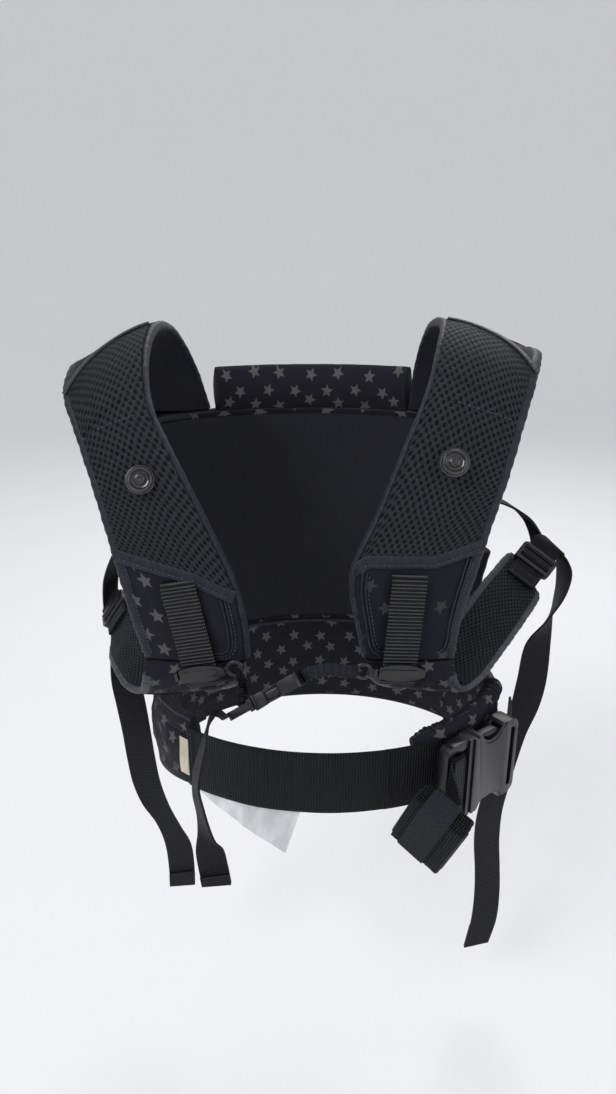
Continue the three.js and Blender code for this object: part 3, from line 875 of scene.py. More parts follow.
def along_edge(surface: Surface, track: Sequence[tuple], count: int, inset: float) -> tuple:
    """Path just inside a surface's edge.

    Args:
        surface: the surface.
        track: (u, v) stations of the path.
        count: how many points to make.
        inset: depth of the path's points below the surface.
    Returns:
        The points, the directions in the surface square to the path, and the normals.
    """
    uv = np.array(track, float)
    step = np.linspace(0, 1, count)
    seg = travel(surface(uv[:, 0], uv[:, 1]))
    at_u = np.interp(step * seg[-1], seg, uv[:, 0])
    at_v = np.interp(step * seg[-1], seg, uv[:, 1])
    points = surface(at_u, at_v)
    out = normals(surface, at_u, at_v)
    points = points - out * inset
    run = unit(np.gradient(points, axis=0))
    inward = unit(np.cross(out, run))
    return points, inward, out


def stitches(name: str, points: Array, out: Array, pitch: float = 3.2, length: float = 2.2,
             width: float = 0.55) -> Piece:
    """Row of sewn stitches lying along a line.

    Args:
        name: the piece's name.
        points: the line.
        out: normals of the cloth there.
        pitch: distance from stitch to stitch.
        length: length of one stitch.
        width: thickness of the thread.
    Returns:
        The object.
    """
    run = travel(points)
    at = np.arange(pitch / 2, run[-1], pitch)
    centre = np.stack([np.interp(at, run, points[:, k]) for k in range(3)], -1)
    up = unit(np.stack([np.interp(at, run, out[:, k]) for k in range(3)], -1))
    ahead = np.stack([np.interp(at + 0.3, run, points[:, k]) for k in range(3)], -1)
    behind = np.stack([np.interp(at - 0.3, run, points[:, k]) for k in range(3)], -1)
    way = unit(ahead - behind)
    side = unit(np.cross(up, way))
    verts, faces = [], []
    stations = [(-0.5, 0.25), (-0.3, 0.9), (0.3, 0.9), (0.5, 0.25)]
    for i in range(len(at)):
        start = len(verts)
        for where, size in stations:
            for a, b in ((1, 0), (0, 1), (-1, 0), (0, -1)):
                around = (side[i] * a + up[i] * b * 0.8) * size * width
                verts.append(centre[i] + way[i] * where * length + around)
        for ring in range(3):
            for j in range(4):
                p = start + ring * 4
                faces.append((p + j, p + (j + 1) % 4, p + 4 + (j + 1) % 4, p + 4 + j))
        faces.append((start + 3, start + 2, start + 1, start))
        faces.append((start + 12, start + 13, start + 14, start + 15))
    return make(name, np.array(verts), faces, THREAD, sharp=80)


def sew(name: str, surface: Surface, track: Sequence[tuple], count: int, inset: float) -> None:
    """Row of stitches along a track on a surface that the harness itself carries.

    Args:
        name: the piece's name.
        surface: the surface.
        track: (u, v) stations.
        count: points along the track.
        inset: depth below the surface.
    """
    points, _, out = along_edge(surface, track, count, inset)
    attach(stitches(name, points, out), ROOT)


def recoat_tape(piece: Piece, path: Array, across: Array) -> None:
    """Give a swept tape flat cloth coordinates: along from its path, across from its width.

    Args:
        piece: the swept tape, whose vertices come ring by ring.
        path: the points it follows.
        across: its width direction at each point.
    """
    count = len(path)
    verts = np.array([v.co[:] for v in piece.data.vertices]) / MM
    rings = verts.reshape(count, -1, 3)
    run = travel(path)
    t = np.einsum("nkd,nd->nk", rings - path[:, None], unit(across))
    s = np.broadcast_to(run[:, None], t.shape)
    cloth = np.stack([s, t, np.zeros_like(t)], -1).reshape(-1, 3).astype(np.float32)
    piece.data.attributes["cloth"].data.foreach_set("vector", cloth.ravel())


def flat_tape(name: str, place: Place, path: Array, size: tuple, finish: Finish,
              outline: tuple = (26, 10)) -> Piece:
    """Flat webbing bent along a path, with its width along a place's Y.

    Args:
        name: the piece's name.
        place: the axes that the path is given in.
        path: its points.
        size: width and thickness of the webbing.
        finish: what it is made of.
        outline: corners and squareness of its cross-section.
    Returns:
        The object.
    """
    across = np.tile((0.0, 1.0, 0.0), (len(path), 1))
    up = np.cross(unit(np.gradient(path, axis=0)), across)
    route, wide = place.world(path), place.turn(across)
    piece = sweep(name, route, wide, place.turn(up), ellipse(size[0] / 2, size[1] / 2, *outline), finish)
    recoat_tape(piece, route, wide)
    return piece


def bent(line: Sequence[tuple], steps: int) -> Array:
    """Smooth path through (x, z) stations at y 0."""
    return spline([(x, 0, z) for x, z in line], np.linspace(0, 1, steps))


def tape_routes(stations: Sequence[Sequence[float]], width: float) -> Surface:
    """Surface of a flat tape; each station is a point and the direction across the tape.

    Args:
        stations: points with directions.
        width: the tape's width.
    Returns:
        The surface.
    """
    st = np.array(stations, float)
    across = unit(st[:, 3:6]) * width / 2
    return between((st[:, :3] - across).tolist(), (st[:, :3] + across).tolist())


def evaluated(piece: Piece) -> None:
    """Apply a piece's modifiers to its mesh.

    Args:
        piece: the piece.
    """
    bpy.context.view_layer.update()
    graph = bpy.context.evaluated_depsgraph_get()
    mesh = bpy.data.meshes.new_from_object(piece.evaluated_get(graph))
    old = piece.data
    piece.modifiers.clear()
    piece.data = mesh
    bpy.data.meshes.remove(old)


# ---- moulded pieces ------------------------------------------------------------------------------
def prism(outline: Sequence[Sequence[float]], low: float, high: float) -> Piece:
    """Solid with a flat outline between two heights, in local millimetres.

    Args:
        outline: corners in order.
        low: lower height.
        high: upper height.
    Returns:
        The solid.
    """
    count = len(outline)
    verts = [(x, y, low) for x, y in outline] + [(x, y, high) for x, y in outline]
    faces = [tuple(range(count))[::-1], tuple(range(count, 2 * count))]
    faces += [(i, (i + 1) % count, count + (i + 1) % count, count + i) for i in range(count)]
    mesh = bpy.data.meshes.new("blank")
    mesh.from_pydata(verts, [], faces)
    shaper = bmesh.new()
    shaper.from_mesh(mesh)
    bmesh.ops.recalc_face_normals(shaper, faces=shaper.faces)
    shaper.to_mesh(mesh)
    shaper.free()
    blank = bpy.data.objects.new("blank", mesh)
    bpy.context.scene.collection.objects.link(blank)
    return blank


def arc(x: float, y: float, radius: float, start: float, end: float, steps: int = 8) -> list:
    """Corner points about (x, y) from one angle to another in degrees."""
    angles = np.radians(np.linspace(start, end, steps + 1))
    return [(x + radius * math.cos(a), y + radius * math.sin(a)) for a in angles]


def rounded(x0: float, x1: float, y0: float, y1: float, radius: float) -> list:
    """Rectangle with rounded corners.

    Args:
        x0: left.
        x1: right.
        y0: bottom.
        y1: top.
        radius: corner radius.
    Returns:
        The corners.
    """
    radius = min(radius, 0.45 * (x1 - x0), 0.45 * (y1 - y0))
    return (arc(x1 - radius, y1 - radius, radius, 90, 0) + arc(x1 - radius, y0 + radius, radius, 0, -90)
            + arc(x0 + radius, y0 + radius, radius, -90, -180) + arc(x0 + radius, y1 - radius, radius, 180,
                                                                     90))


def disc(x: float, y: float, radius: float, steps: int = 40) -> list:
    """Circle outline."""
    return arc(x, y, radius, 0, -360 + 360 / steps, steps - 1)


@dataclass
class Moulding:
    """A plastic piece cut from one blank: start shape, cutters, joined lumps and softened edges."""

    name: str
    place: Place
    outline: Sequence[Sequence[float]]
    low: float
    high: float
    cutters: list = field(default_factory=list)
    lumps: list = field(default_factory=list)
    soften: float = 0.7
    finish: Finish = PLASTIC

    def build(self) -> Piece:
        """Cut, join, soften and put the piece in its place.

        Returns:
            The piece.
        """
        blank = prism(self.outline, self.low, self.high)
        for kind, shapes in (("UNION", self.lumps), ("DIFFERENCE", self.cutters)):
            for outline, low, high in shapes:
                tool = prism(outline, low, high)
                change = blank.modifiers.new("shape", "BOOLEAN")
                change.operation = kind
                change.solver = "EXACT"
                change.object = tool
                evaluated(blank)
                bpy.data.meshes.remove(tool.data)
        soft = blank.modifiers.new("soften", "BEVEL")
        soft.width = self.soften
        soft.segments = 3
        soft.limit_method = "ANGLE"
        soft.angle_limit = math.radians(32)
        soft.use_clamp_overlap = True
        evaluated(blank)
        local = np.array([v.co[:] for v in blank.data.vertices])
        faces = [tuple(p.vertices) for p in blank.data.polygons]
        bpy.data.meshes.remove(blank.data)
        return make(self.name, self.place.world(local), faces, self.finish, local, sharp=38)


# ---- shoulder straps -----------------------------------------------------------------------------
@dataclass(frozen=True)
class Edging:
    """How one kind of edge is bound: the binding's place, size and finish, and its row of stitches."""

    inset: float
    reach: float
    extra: float
    power: float
    raised: float
    finish: Finish
    seam: Optional[tuple]


ARM_EDGE = Edging(3.4, 4.6, 0.2, 2.7, 0.8, BINDING, (6.6, 0.6))
NECK_EDGE = Edging(0.9, 2.6, -0.6, 2.5, 0.0, BINDING, None)
UNDER_EDGE = Edging(1.7, 4.2, 0.0, 2.7, 0.0, GREY_BINDING, (5.2, -0.3))


@dataclass
class Strap:
    """One padded shoulder strap with its under-arm pad, from the front panel over the shoulder and down."""

    side: Side
    neck: list
    arm: list
    upper: list
    lower: list
    seam_top: tuple
    hem: tuple
    stars_share: tuple
    thickness: float = 12.0
    under_thickness: float = 7.0
    edge: float = 0.55
    seam_end: float = 0.996
    seam_start: float = 0.012
    stud_at: tuple = (0.42, 0.5)
    channel_lines: tuple = (0.335, 0.51)

    def __post_init__(self) -> None:
        """Set up the two surfaces, each running from v 0 to v 1 so that its normal points out."""
        left = self.side is Side.LEFT
        a, b = (self.arm, self.neck) if left else (self.neck, self.arm)
        c, d = (self.lower, self.upper) if left else (self.upper, self.lower)
        whole = between(a, b)
        under = between([a[-1], *c], [b[-1], *d])
        self.back: Surface = lambda u, v: whole(u * self.seam_end, v)
        self.fold: Surface = lambda u, v: under(lerp(self.seam_start, 1, u), v)

    def thin(self, v: Array, thickness: float) -> Array:
        """How far a pad's face lies below its full height at v."""
        return thickness * (1 - self.edge) * np.abs(2 * v - 1) ** 3 / 2

    def skin(self, base: Surface, thickness: float, lift: float, inside: bool = False) -> Surface:
        """Surface lying on a pad's outer or inner face.

        Args:
            base: the pad's surface.
            thickness: the pad's thickness.
            lift: height above the face.
            inside: lie on the inner face, with v reversed so that it faces the other way.
        Returns:
            The surface.
        """

        def surface(u: Array, v: Array) -> Array:
            """Point at (u, v)."""
            w = 1 - v if inside else v
            out = normals(base, u, w)
            low = self.thin(w, thickness)
            deep = thickness - low + lift if inside else low - lift
            return base(u, w) - out * deep[..., None]

        return surface

    def region(self, base: Surface, u0: tuple, u1: tuple, v0: float, v1: float) -> Surface:
        """Part of a surface; u0 and u1 are (v stations, u values) of its two slanted ends.

        Args:
            base: the surface.
            u0: first end.
            u1: last end.
            v0: first edge.
            v1: last edge.
        Returns:
            The part.
        """

        def surface(a: Array, b: Array) -> Array:
            """Point at shares a and b of the region."""
            v = lerp(v0, v1, b)
            low = np.interp(v, *u0)
            high = np.interp(v, *u1)
            return base(low + (high - low) * a, v)

        return surface

    def build_pads(self) -> None:
        """The two padded shells."""
        side = self.side.value
        soft = Crumple(11 if self.side is Side.LEFT else 12, 62, 1.0)
        fine = Crumple(21, 17, 0.35)

        def relief(u: Array, v: Array, s: Array, t: Array) -> Array:
            """Creases in the open, and a sunk face where the mesh covers the shell."""
            fade = smooth(v / 0.12) * smooth((1 - v) / 0.12) * smooth(u / 0.02) * smooth((1 - u) / 0.02)
            covered = smooth((u - lerp(*self.seam_top, v) + 0.01) / 0.03)
            return (soft(s, t) + fine(s, t)) * fade * (1 - covered) - 0.7 * covered * fade

        pad = slab(f"{side}_strap_shell", self.back, pad_depth(self.thickness, self.edge), (150, 26), SHELL,
                   relief)
        fit(pad, ROOT, f"{side}_strap_pad")
        under = slab(f"{side}_underarm_shell", self.fold, pad_depth(self.under_thickness, self.edge),
                     (90, 26),
                     STARS, lambda u, v, s, t: fine(s, t) * 1.4 * smooth((1 - u) / 0.06) * smooth(u / 0.03),
                     shift=(9.0, 4.0))
        fit(under, ROOT, f"{side}_underarm_pad")

    def build_faces(self) -> None:
        """Air mesh on the back, the sewn pocket with its hem, and fine mesh on both faces under the arm."""
        self.build_mesh()
        self.build_pocket()
        self.pocket_seams()
        self.build_under_mesh()

    def build_mesh(self) -> None:
        """Air mesh from the curved seam down to the pocket's hem."""
        bow = Crumple(31, 48, 0.5)
        lower = (self.hem[0], [x + 0.012 for x in self.hem[1]])
        span = (0.075, 0.985) if self.side is Side.LEFT else (0.015, 0.925)

        def relief(u: Array, v: Array, s: Array, t: Array) -> Array:
            """Soft waves, the dimple round the stud and the two sewn channels."""
            return bow(s, t) * 0.6 * self.soft_edge(v) - 0.5 * self.stud_dip(u, v) - 1.1 * self.channels(u)

        area = self.region(self.skin(self.back, self.thickness, 1.5), self.top_line(), lower, *span)
        mesh = slab(f"{self.side.value}_strap_mesh", area, flat_depth(0, 2.4), (150, 30), MESH, relief)
        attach(mesh, ROOT)

    def build_pocket(self) -> None:
        """Pocket below the mesh: plain and printed halves on the left, printed all over on the right."""
        bow, fine = Crumple(31, 48, 0.5), Crumple(44, 12, 0.35)
        halves = {"printed": (0.03, 0.97, FAINT, 0.6)}
        if self.side is Side.LEFT:
            halves = {"plain": (0.6, 0.97, SHELL, 0.9), "printed": (0.03, 0.62, STARS, 0.6)}

        def relief(u: Array, v: Array, s: Array, t: Array) -> Array:
            """Soft waves and small creases that fade at the pocket's end."""
            return (bow(s * 1.3, t * 1.3) + fine(s, t) - 0.6) * self.soft_edge(v) * smooth((1 - u) / 0.1)

        for part, (v0, v1, cloth, lift) in halves.items():
            base = self.skin(self.back, self.thickness, lift)
            pocket = slab(f"{self.side.value}_strap_pocket_{part}",
                          self.region(base, self.hem, ([0, 1], [1, 1]), v0, v1), flat_depth(0, 3.0),
                          (60, 34), cloth, relief, shift=self.stars_share)
            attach(pocket, ROOT)

    def build_under_mesh(self) -> None:
        """Fine mesh on the outer and the inner face of the under-arm pad."""
        bow = Crumple(51, 24, 0.6)
        for end, inside, start in (("outer", False, 0.34), ("inner", True, 0.06)):
            base = self.skin(self.fold, self.under_thickness, 1.0, inside)
            area = self.region(base, ([0, 1], [start, start]), ([0, 1], [0.985, 0.985]), 0.07, 0.93)
            face = slab(f"{self.side.value}_underarm_mesh_{end}", area, flat_depth(0, 1.6), (70, 26),
                        FINE_MESH, lambda u, v, s, t: bow(s, t) * self.soft_edge(v))
            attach(face, ROOT)

    def pocket_seams(self) -> None:
        """Piped double seam that runs down the pocket and round its lower corner."""
        side = self.side.value
        face = self.skin(self.back, self.thickness, 0.7)
        lines = [(0.87, 0.80)] if self.side is Side.LEFT else [(0.9, 0.83), (0.09, 0.16)]
        for k, (v, turn) in enumerate(lines):
            top = float(np.interp(v, *self.hem)) + 0.018
            track = [(top, v), (0.95, v), (0.972, lerp(v, turn, 0.3)), (0.982, turn)]
            if self.side is Side.LEFT:
                track.append((0.984, 0.6))
            points, inward, out = along_edge(face, track, 70, 0.0)
            for j, gap in enumerate((-1.3, 1.3)):
                cord = sweep(f"{side}_pocket_piping_{k}_{j}", points + inward * gap, inward, out,
                             ellipse(0.75, 0.85, 10), BINDING)
                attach(cord, ROOT)
            row = stitches(f"{side}_pocket_stitches_{k}", (points + inward * 3.4 + out * 0.1)[2:-2],
                           out[2:-2])
            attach(row, ROOT)

    def top_line(self) -> tuple:
        """Stations of the curved seam where the mesh begins, as (v, u)."""
        v = np.linspace(0, 1, 9)
        return v, lerp(*self.seam_top, v) - 0.025 * np.sin(math.pi * v)

    def soft_edge(self, v: Array) -> Array:
        """Fade towards the two long edges."""
        return smooth(v / 0.1) * smooth((1 - v) / 0.1)

    def stud_dip(self, u: Array, v: Array) -> Array:
        """Dimple round the press stud."""
        return np.exp(-(((u - self.stud_at[0]) / 0.06) ** 2 + ((v - self.stud_at[1]) / 0.2) ** 2))

    def channels(self, u: Array) -> Array:
        """Two sewn lines above and below the press stud."""
        return sum(np.exp(-((u - line) / 0.008) ** 2) for line in self.channel_lines)

    def build_edges(self) -> None:
        """Bindings, seam tape, hem band and stitching."""
        left = self.side is Side.LEFT
        first, second = (ARM_EDGE, NECK_EDGE) if left else (NECK_EDGE, ARM_EDGE)
        self.bind("first", self.back, first, [(0, 0), (1, 0)], 150, self.thickness)
        self.bind("second", self.back, second, [(0, 1), (1, 1)], 150, self.thickness)
        for name, v, near in (("under_a", 0, 0.06), ("under_b", 1, 0.94)):
            track = [(0.1, v), (0.985, v), (1, near), (1, 0.5)]
            self.bind(name, self.fold, UNDER_EDGE, track, 110, self.under_thickness)
        self.band("hem_band", self.hem[0], self.hem[1], 9.5, BINDING, 2.0, 1.5)
        v, u = self.top_line()
        self.band("mesh_seam", v, u, 4.0, SEAM_TAPE, 2.8, 1.4)
        self.dashes("hem_upper_stitches", self.hem[0], self.hem[1], 3.1, 0.004)
        for name, span, u in (("stud_upper_stitches", [0.22, 0.75], self.channel_lines[0]),
                              ("stud_lower_stitches", [0.3, 0.85], self.channel_lines[1])):
            self.dashes(name, span, [u + 0.002, u + 0.002], 1.9, 0.0)

    def bind(self, name: str, base: Surface, edging: Edging, track: list, count: int, thick: float) -> None:
        """Binding with its stitches along one edge.

        Args:
            name: the edge's name.
            base: the pad's surface.
            edging: the kind of binding.
            track: (u, v) stations of the edge.
            count: points along it.
            thick: the pad's thickness.
        """
        side = self.side.value
        points, inward, out = along_edge(base, track, count, thick / 2)
        toward = inward if name in ("first", "under_a") else -inward
        half = thick * self.edge / 2 + 0.9
        run = np.arange(count)
        pucker = 1 + 0.05 * np.sin(run * 1.9) + 0.03 * np.sin(run * 0.7)
        rim = sweep(f"{side}_binding_{name}", points + toward * edging.inset + out * edging.raised, inward,
                    out,
                    ellipse(edging.reach, half + edging.extra, 16, edging.power), edging.finish, sizes=pucker)
        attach(rim, ROOT)
        if edging.seam:
            aside, lift = edging.seam
            top = points + toward * aside + out * (half + lift)
            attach(stitches(f"{side}_stitches_{name}", top[2:-2], out[2:-2]), ROOT)

    def band(self, name: str, v: Sequence[float], u: Sequence[float], width: float, finish: Finish,
             lift: float, height: float) -> None:
        """Flat tape sewn across the strap.

        Args:
            name: the piece's name after the side.
            v: stations across.
            u: where the tape's middle lies at each station.
            width: width in millimetres.
            finish: what it is made of.
            lift: height of its middle above the strap's face.
            height: its thickness.
        """
        face = self.skin(self.back, self.thickness, lift - height / 2)
        at = np.linspace(0.02, 0.98, 60)
        run = np.interp(at, v, u)
        points = face(run, at)
        out = normals(face, run, at)
        way = unit(np.gradient(points, axis=0))
        piece = sweep(f"{self.side.value}_{name}", points, unit(np.cross(out, way)), out,
                      ellipse(width / 2, height / 2 + 0.4, 14, 3.2), finish)
        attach(piece, ROOT)

    def dashes(self, name: str, v: Sequence[float], u: Sequence[float], lift: float, shift: float) -> None:
        """Row of stitches across the strap.

        Args:
            name: the piece's name after the side.
            v: stations across.
            u: where the row lies at each.
            lift: height above the strap's face.
            shift: added to u.
        """
        face = self.skin(self.back, self.thickness, lift)
        at = np.linspace(max(0.06, v[0]), min(0.94, v[-1]), 50)
        run = np.interp(at, v, u) + shift
        row = stitches(f"{self.side.value}_{name}", face(run, at), normals(face, run, at))
        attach(row, ROOT)


# Radius and height of each turn of the stud's face, from its back to the middle of its front.
STUD_PROFILE = [(0.05, 0.4), (9.6, 0.4), (9.9, 1.0), (9.4, 1.6), (8.7, 1.7), (8.5, 2.2), (8.0, 3.0),
                (7.2, 3.4),
                (6.4, 3.0), (6.0, 2.2), (5.2, 1.9), (3.9, 2.0), (3.6, 3.2), (3.1, 3.9), (2.2, 4.1),
                (1.2, 3.9),
                (0.05, 3.8)]
STUD_SIDES = 56


@dataclass
class Stud:
    """Glossy press stud in the strap's mesh."""

    side: Side
    at: tuple
    out: tuple

    def build(self) -> None:
        """Turned cap with a rolled rim and a dished middle, standing on a flange."""
        up = unit(np.array(self.out, float))
        a = unit(np.cross(up, (0.0, 0.0, 1.0)))
        b = np.cross(up, a)
        count, rows = STUD_SIDES, len(STUD_PROFILE)
        verts, faces = [], []
        for r, h in STUD_PROFILE:
            for angle in np.arange(count) * 2 * math.pi / count:
                verts.append(np.array(self.at) + up * h + (a * math.cos(angle) + b * math.sin(angle)) * r)
        for i in range(rows - 1):
            for k in range(count):
                p, q = i * count + k, i * count + (k + 1) % count
                faces.append((p, p + count, q + count, q))
        faces.append(tuple(range(count)))
        faces.append(tuple(range((rows - 1) * count, rows * count))[::-1])
        centre = np.mean(verts, axis=0)
        first = np.array([verts[i] for i in faces[0]])
        if np.dot(np.cross(first[1] - first[0], first[2] - first[0]), first.mean(0) - centre) < 0:
            faces = [f[::-1] for f in faces]
        stud = make(f"{self.side.value}_stud_cap", np.array(verts), faces, GLOSS)
        fit(stud, ROOT, f"{self.side.value}_press_stud")


@dataclass
class Rail:
    """Ribbed rail on a strap's pocket, with the slider that wraps it and the ring beside it."""

    side: Side
    place: Place
    length: float
    body: str
    standoff: float = 4.2
    thickness: float = 1.5
    width: float = 25.0
    rest: float = 5.5
    slider: float = 13.0
    shell: float = 2.0
    ring: float = 5.4
    wire: float = 1.4

    def build(self) -> None:
        """Webbing, its sewn ends, slider and ring."""
        side = self.side.value
        lift, high = self.standoff, self.length
        line = [(0, 0.6), (2, lift * 0.8), (5, lift), (20, lift), (high - 16, lift), (high - 5, lift),
                (high - 2, lift * 0.8), (high, 0.6)]
        stations = np.array([(0, y, z + self.thickness) for y, z in line], float)
        t = np.linspace(0, 1, 90)
        path = spline(stations, t)
        path[:, 2] = np.maximum(path[:, 2] - self.thickness / 2,
                                0.9) + 0.25 * np.sin(path[:, 1] * 0.9) * (t > 0.3)
        way = unit(np.gradient(path, axis=0))
        flat = np.tile((1.0, 0.0, 0.0), (90, 1))
        web = sweep(f"{side}_rail_webbing", self.place.world(path), self.place.turn(flat),
                    self.place.turn(np.cross(way, flat)),
                    ellipse(self.width / 2, self.thickness / 2 + 0.15, 26, 9),
                    RIBBED)
        fit(web, ROOT, f"{side}_rail")
        self.recoat(web)
        self.build_slider()
        self.build_ring()

    def recoat(self, web: Piece) -> None:
        """Give the rail flat cloth coordinates, so its ribs run straight across.

        Args:
            web: the rail's webbing.
        """
        apart = np.array([v.co[:] for v in web.data.vertices]) / MM - np.array(self.place.origin)
        local = apart @ self.place.axes().T
        cloth = np.stack([local[:, 1], local[:, 0], local[:, 2]], -1).astype(np.float32)
        web.data.attributes["cloth"].data.foreach_set("vector", cloth.ravel())

    def build_slider(self) -> None:
        """Slider: a bowed body with a slot for the rail and a raised grip."""
        side = self.side.value
        half = self.width / 2 + 6
        low, high = self.rest, self.rest + self.slider
        back = self.standoff - 0.6 - self.shell * 0.55
        front = self.standoff + self.thickness + 0.6 + self.shell
        slot = ([(-self.width / 2 - 0.8, low - 9), (self.width / 2 + 0.8, low - 9),
                 (self.width / 2 + 0.8, high + 9), (-self.width / 2 - 0.8, high + 9)],
                self.standoff - 0.6, self.standoff + self.thickness + 0.6)
        grip = (rounded(-half + 5, half - 5, low + 3.6, high - 3.6, 2.6), front - 0.8, front + 0.9)
        bar = (rounded(-half + 2.4, -self.width / 2 - 2.2, low + 2, high - 2, 1.0), back - 3, front + 3)
        share = np.linspace(-1, 1, 17)
        bow = 4.2 * np.abs(share) ** 2.6
        outline = [(float(x) * half, high - float(b)) for x, b in zip(share, bow)]
        outline += [(float(x) * half, low + float(b)) for x, b in zip(share[::-1], bow[::-1])]
        body = Moulding(f"{side}_slider_body", self.place, outline, back, front, [slot, bar], [grip], 0.9,
                        SLICK).build()
        fit(body, self.body, f"{side}_slider")

    def build_ring(self) -> None:
        """Moulded ring with the stub that joins it to the slider."""
        side = self.side.value
        reach = self.width / 2 + 6 + self.ring + self.wire + 0.3
        x = reach if self.side is Side.LEFT else -reach
        y = self.rest + self.slider / 2
        z = self.standoff + self.thickness / 2
        angle = np.linspace(0, 2 * math.pi, 48, endpoint=False)
        circle = np.stack([x + self.ring * np.cos(angle), y + self.ring * np.sin(angle), np.full(48, z)], -1)
        outward = np.stack([np.cos(angle), np.sin(angle), np.zeros(48)], -1)
        level = np.tile((0.0, 0.0, 1.0), (48, 1))
        loop = sweep(f"{side}_ring_loop", self.place.world(circle), self.place.turn(outward),
                     self.place.turn(level), ellipse(self.wire, self.wire * 1.15, 12), PLASTIC, closed=True)
        fit(loop, self.body, f"{side}_strap_ring")
        toward = -1 if self.side is Side.LEFT else 1
        x0 = x + toward * (self.ring - 0.2)
        x1 = x + toward * (self.ring + self.wire + 2.2)
        outline = rounded(min(x0, x1), max(x0, x1), y - 2.4, y + 2.4, 0.9)
        stub = Moulding(f"{side}_ring_stub", self.place, outline, z - 1.5, z + 1.5, soften=0.5).build()
        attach(stub, self.body)


# ---- waistband, panel and belt -------------------------------------------------------------------
@dataclass(frozen=True)
class Oval:
    """Ellipse round the body, seen from above."""

    x: float
    y: float
    a: float
    b: float

    def at(self, theta: Array, z: Array, inset: Array = 0.0) -> Array:
        """Point at theta degrees from the middle of the back, at height z, inset towards the body.

        Args:
            theta: degrees.
            z: height.
            inset: distance inwards.
        Returns:
            The points.
        """
        angle = np.radians(theta)
        x = self.x - (self.a - inset) * np.sin(angle)
        y = self.y - (self.b - inset) * np.cos(angle)
        return np.stack(np.broadcast_arrays(x, y, z), -1).astype(float)

    def back(self, x: Array, z: Array, inset: float = 0.0) -> Array:
        """Point on the back at a given x."""
        y = self.y - (self.b - inset) * np.sqrt(1 - ((x - self.x) / (self.a - inset)) ** 2)
        return np.stack(np.broadcast_arrays(x, y, z), -1).astype(float)


WAIST = Oval(15, -12, 148, 113)
CHEST = Oval(4, 4, 152, 112)


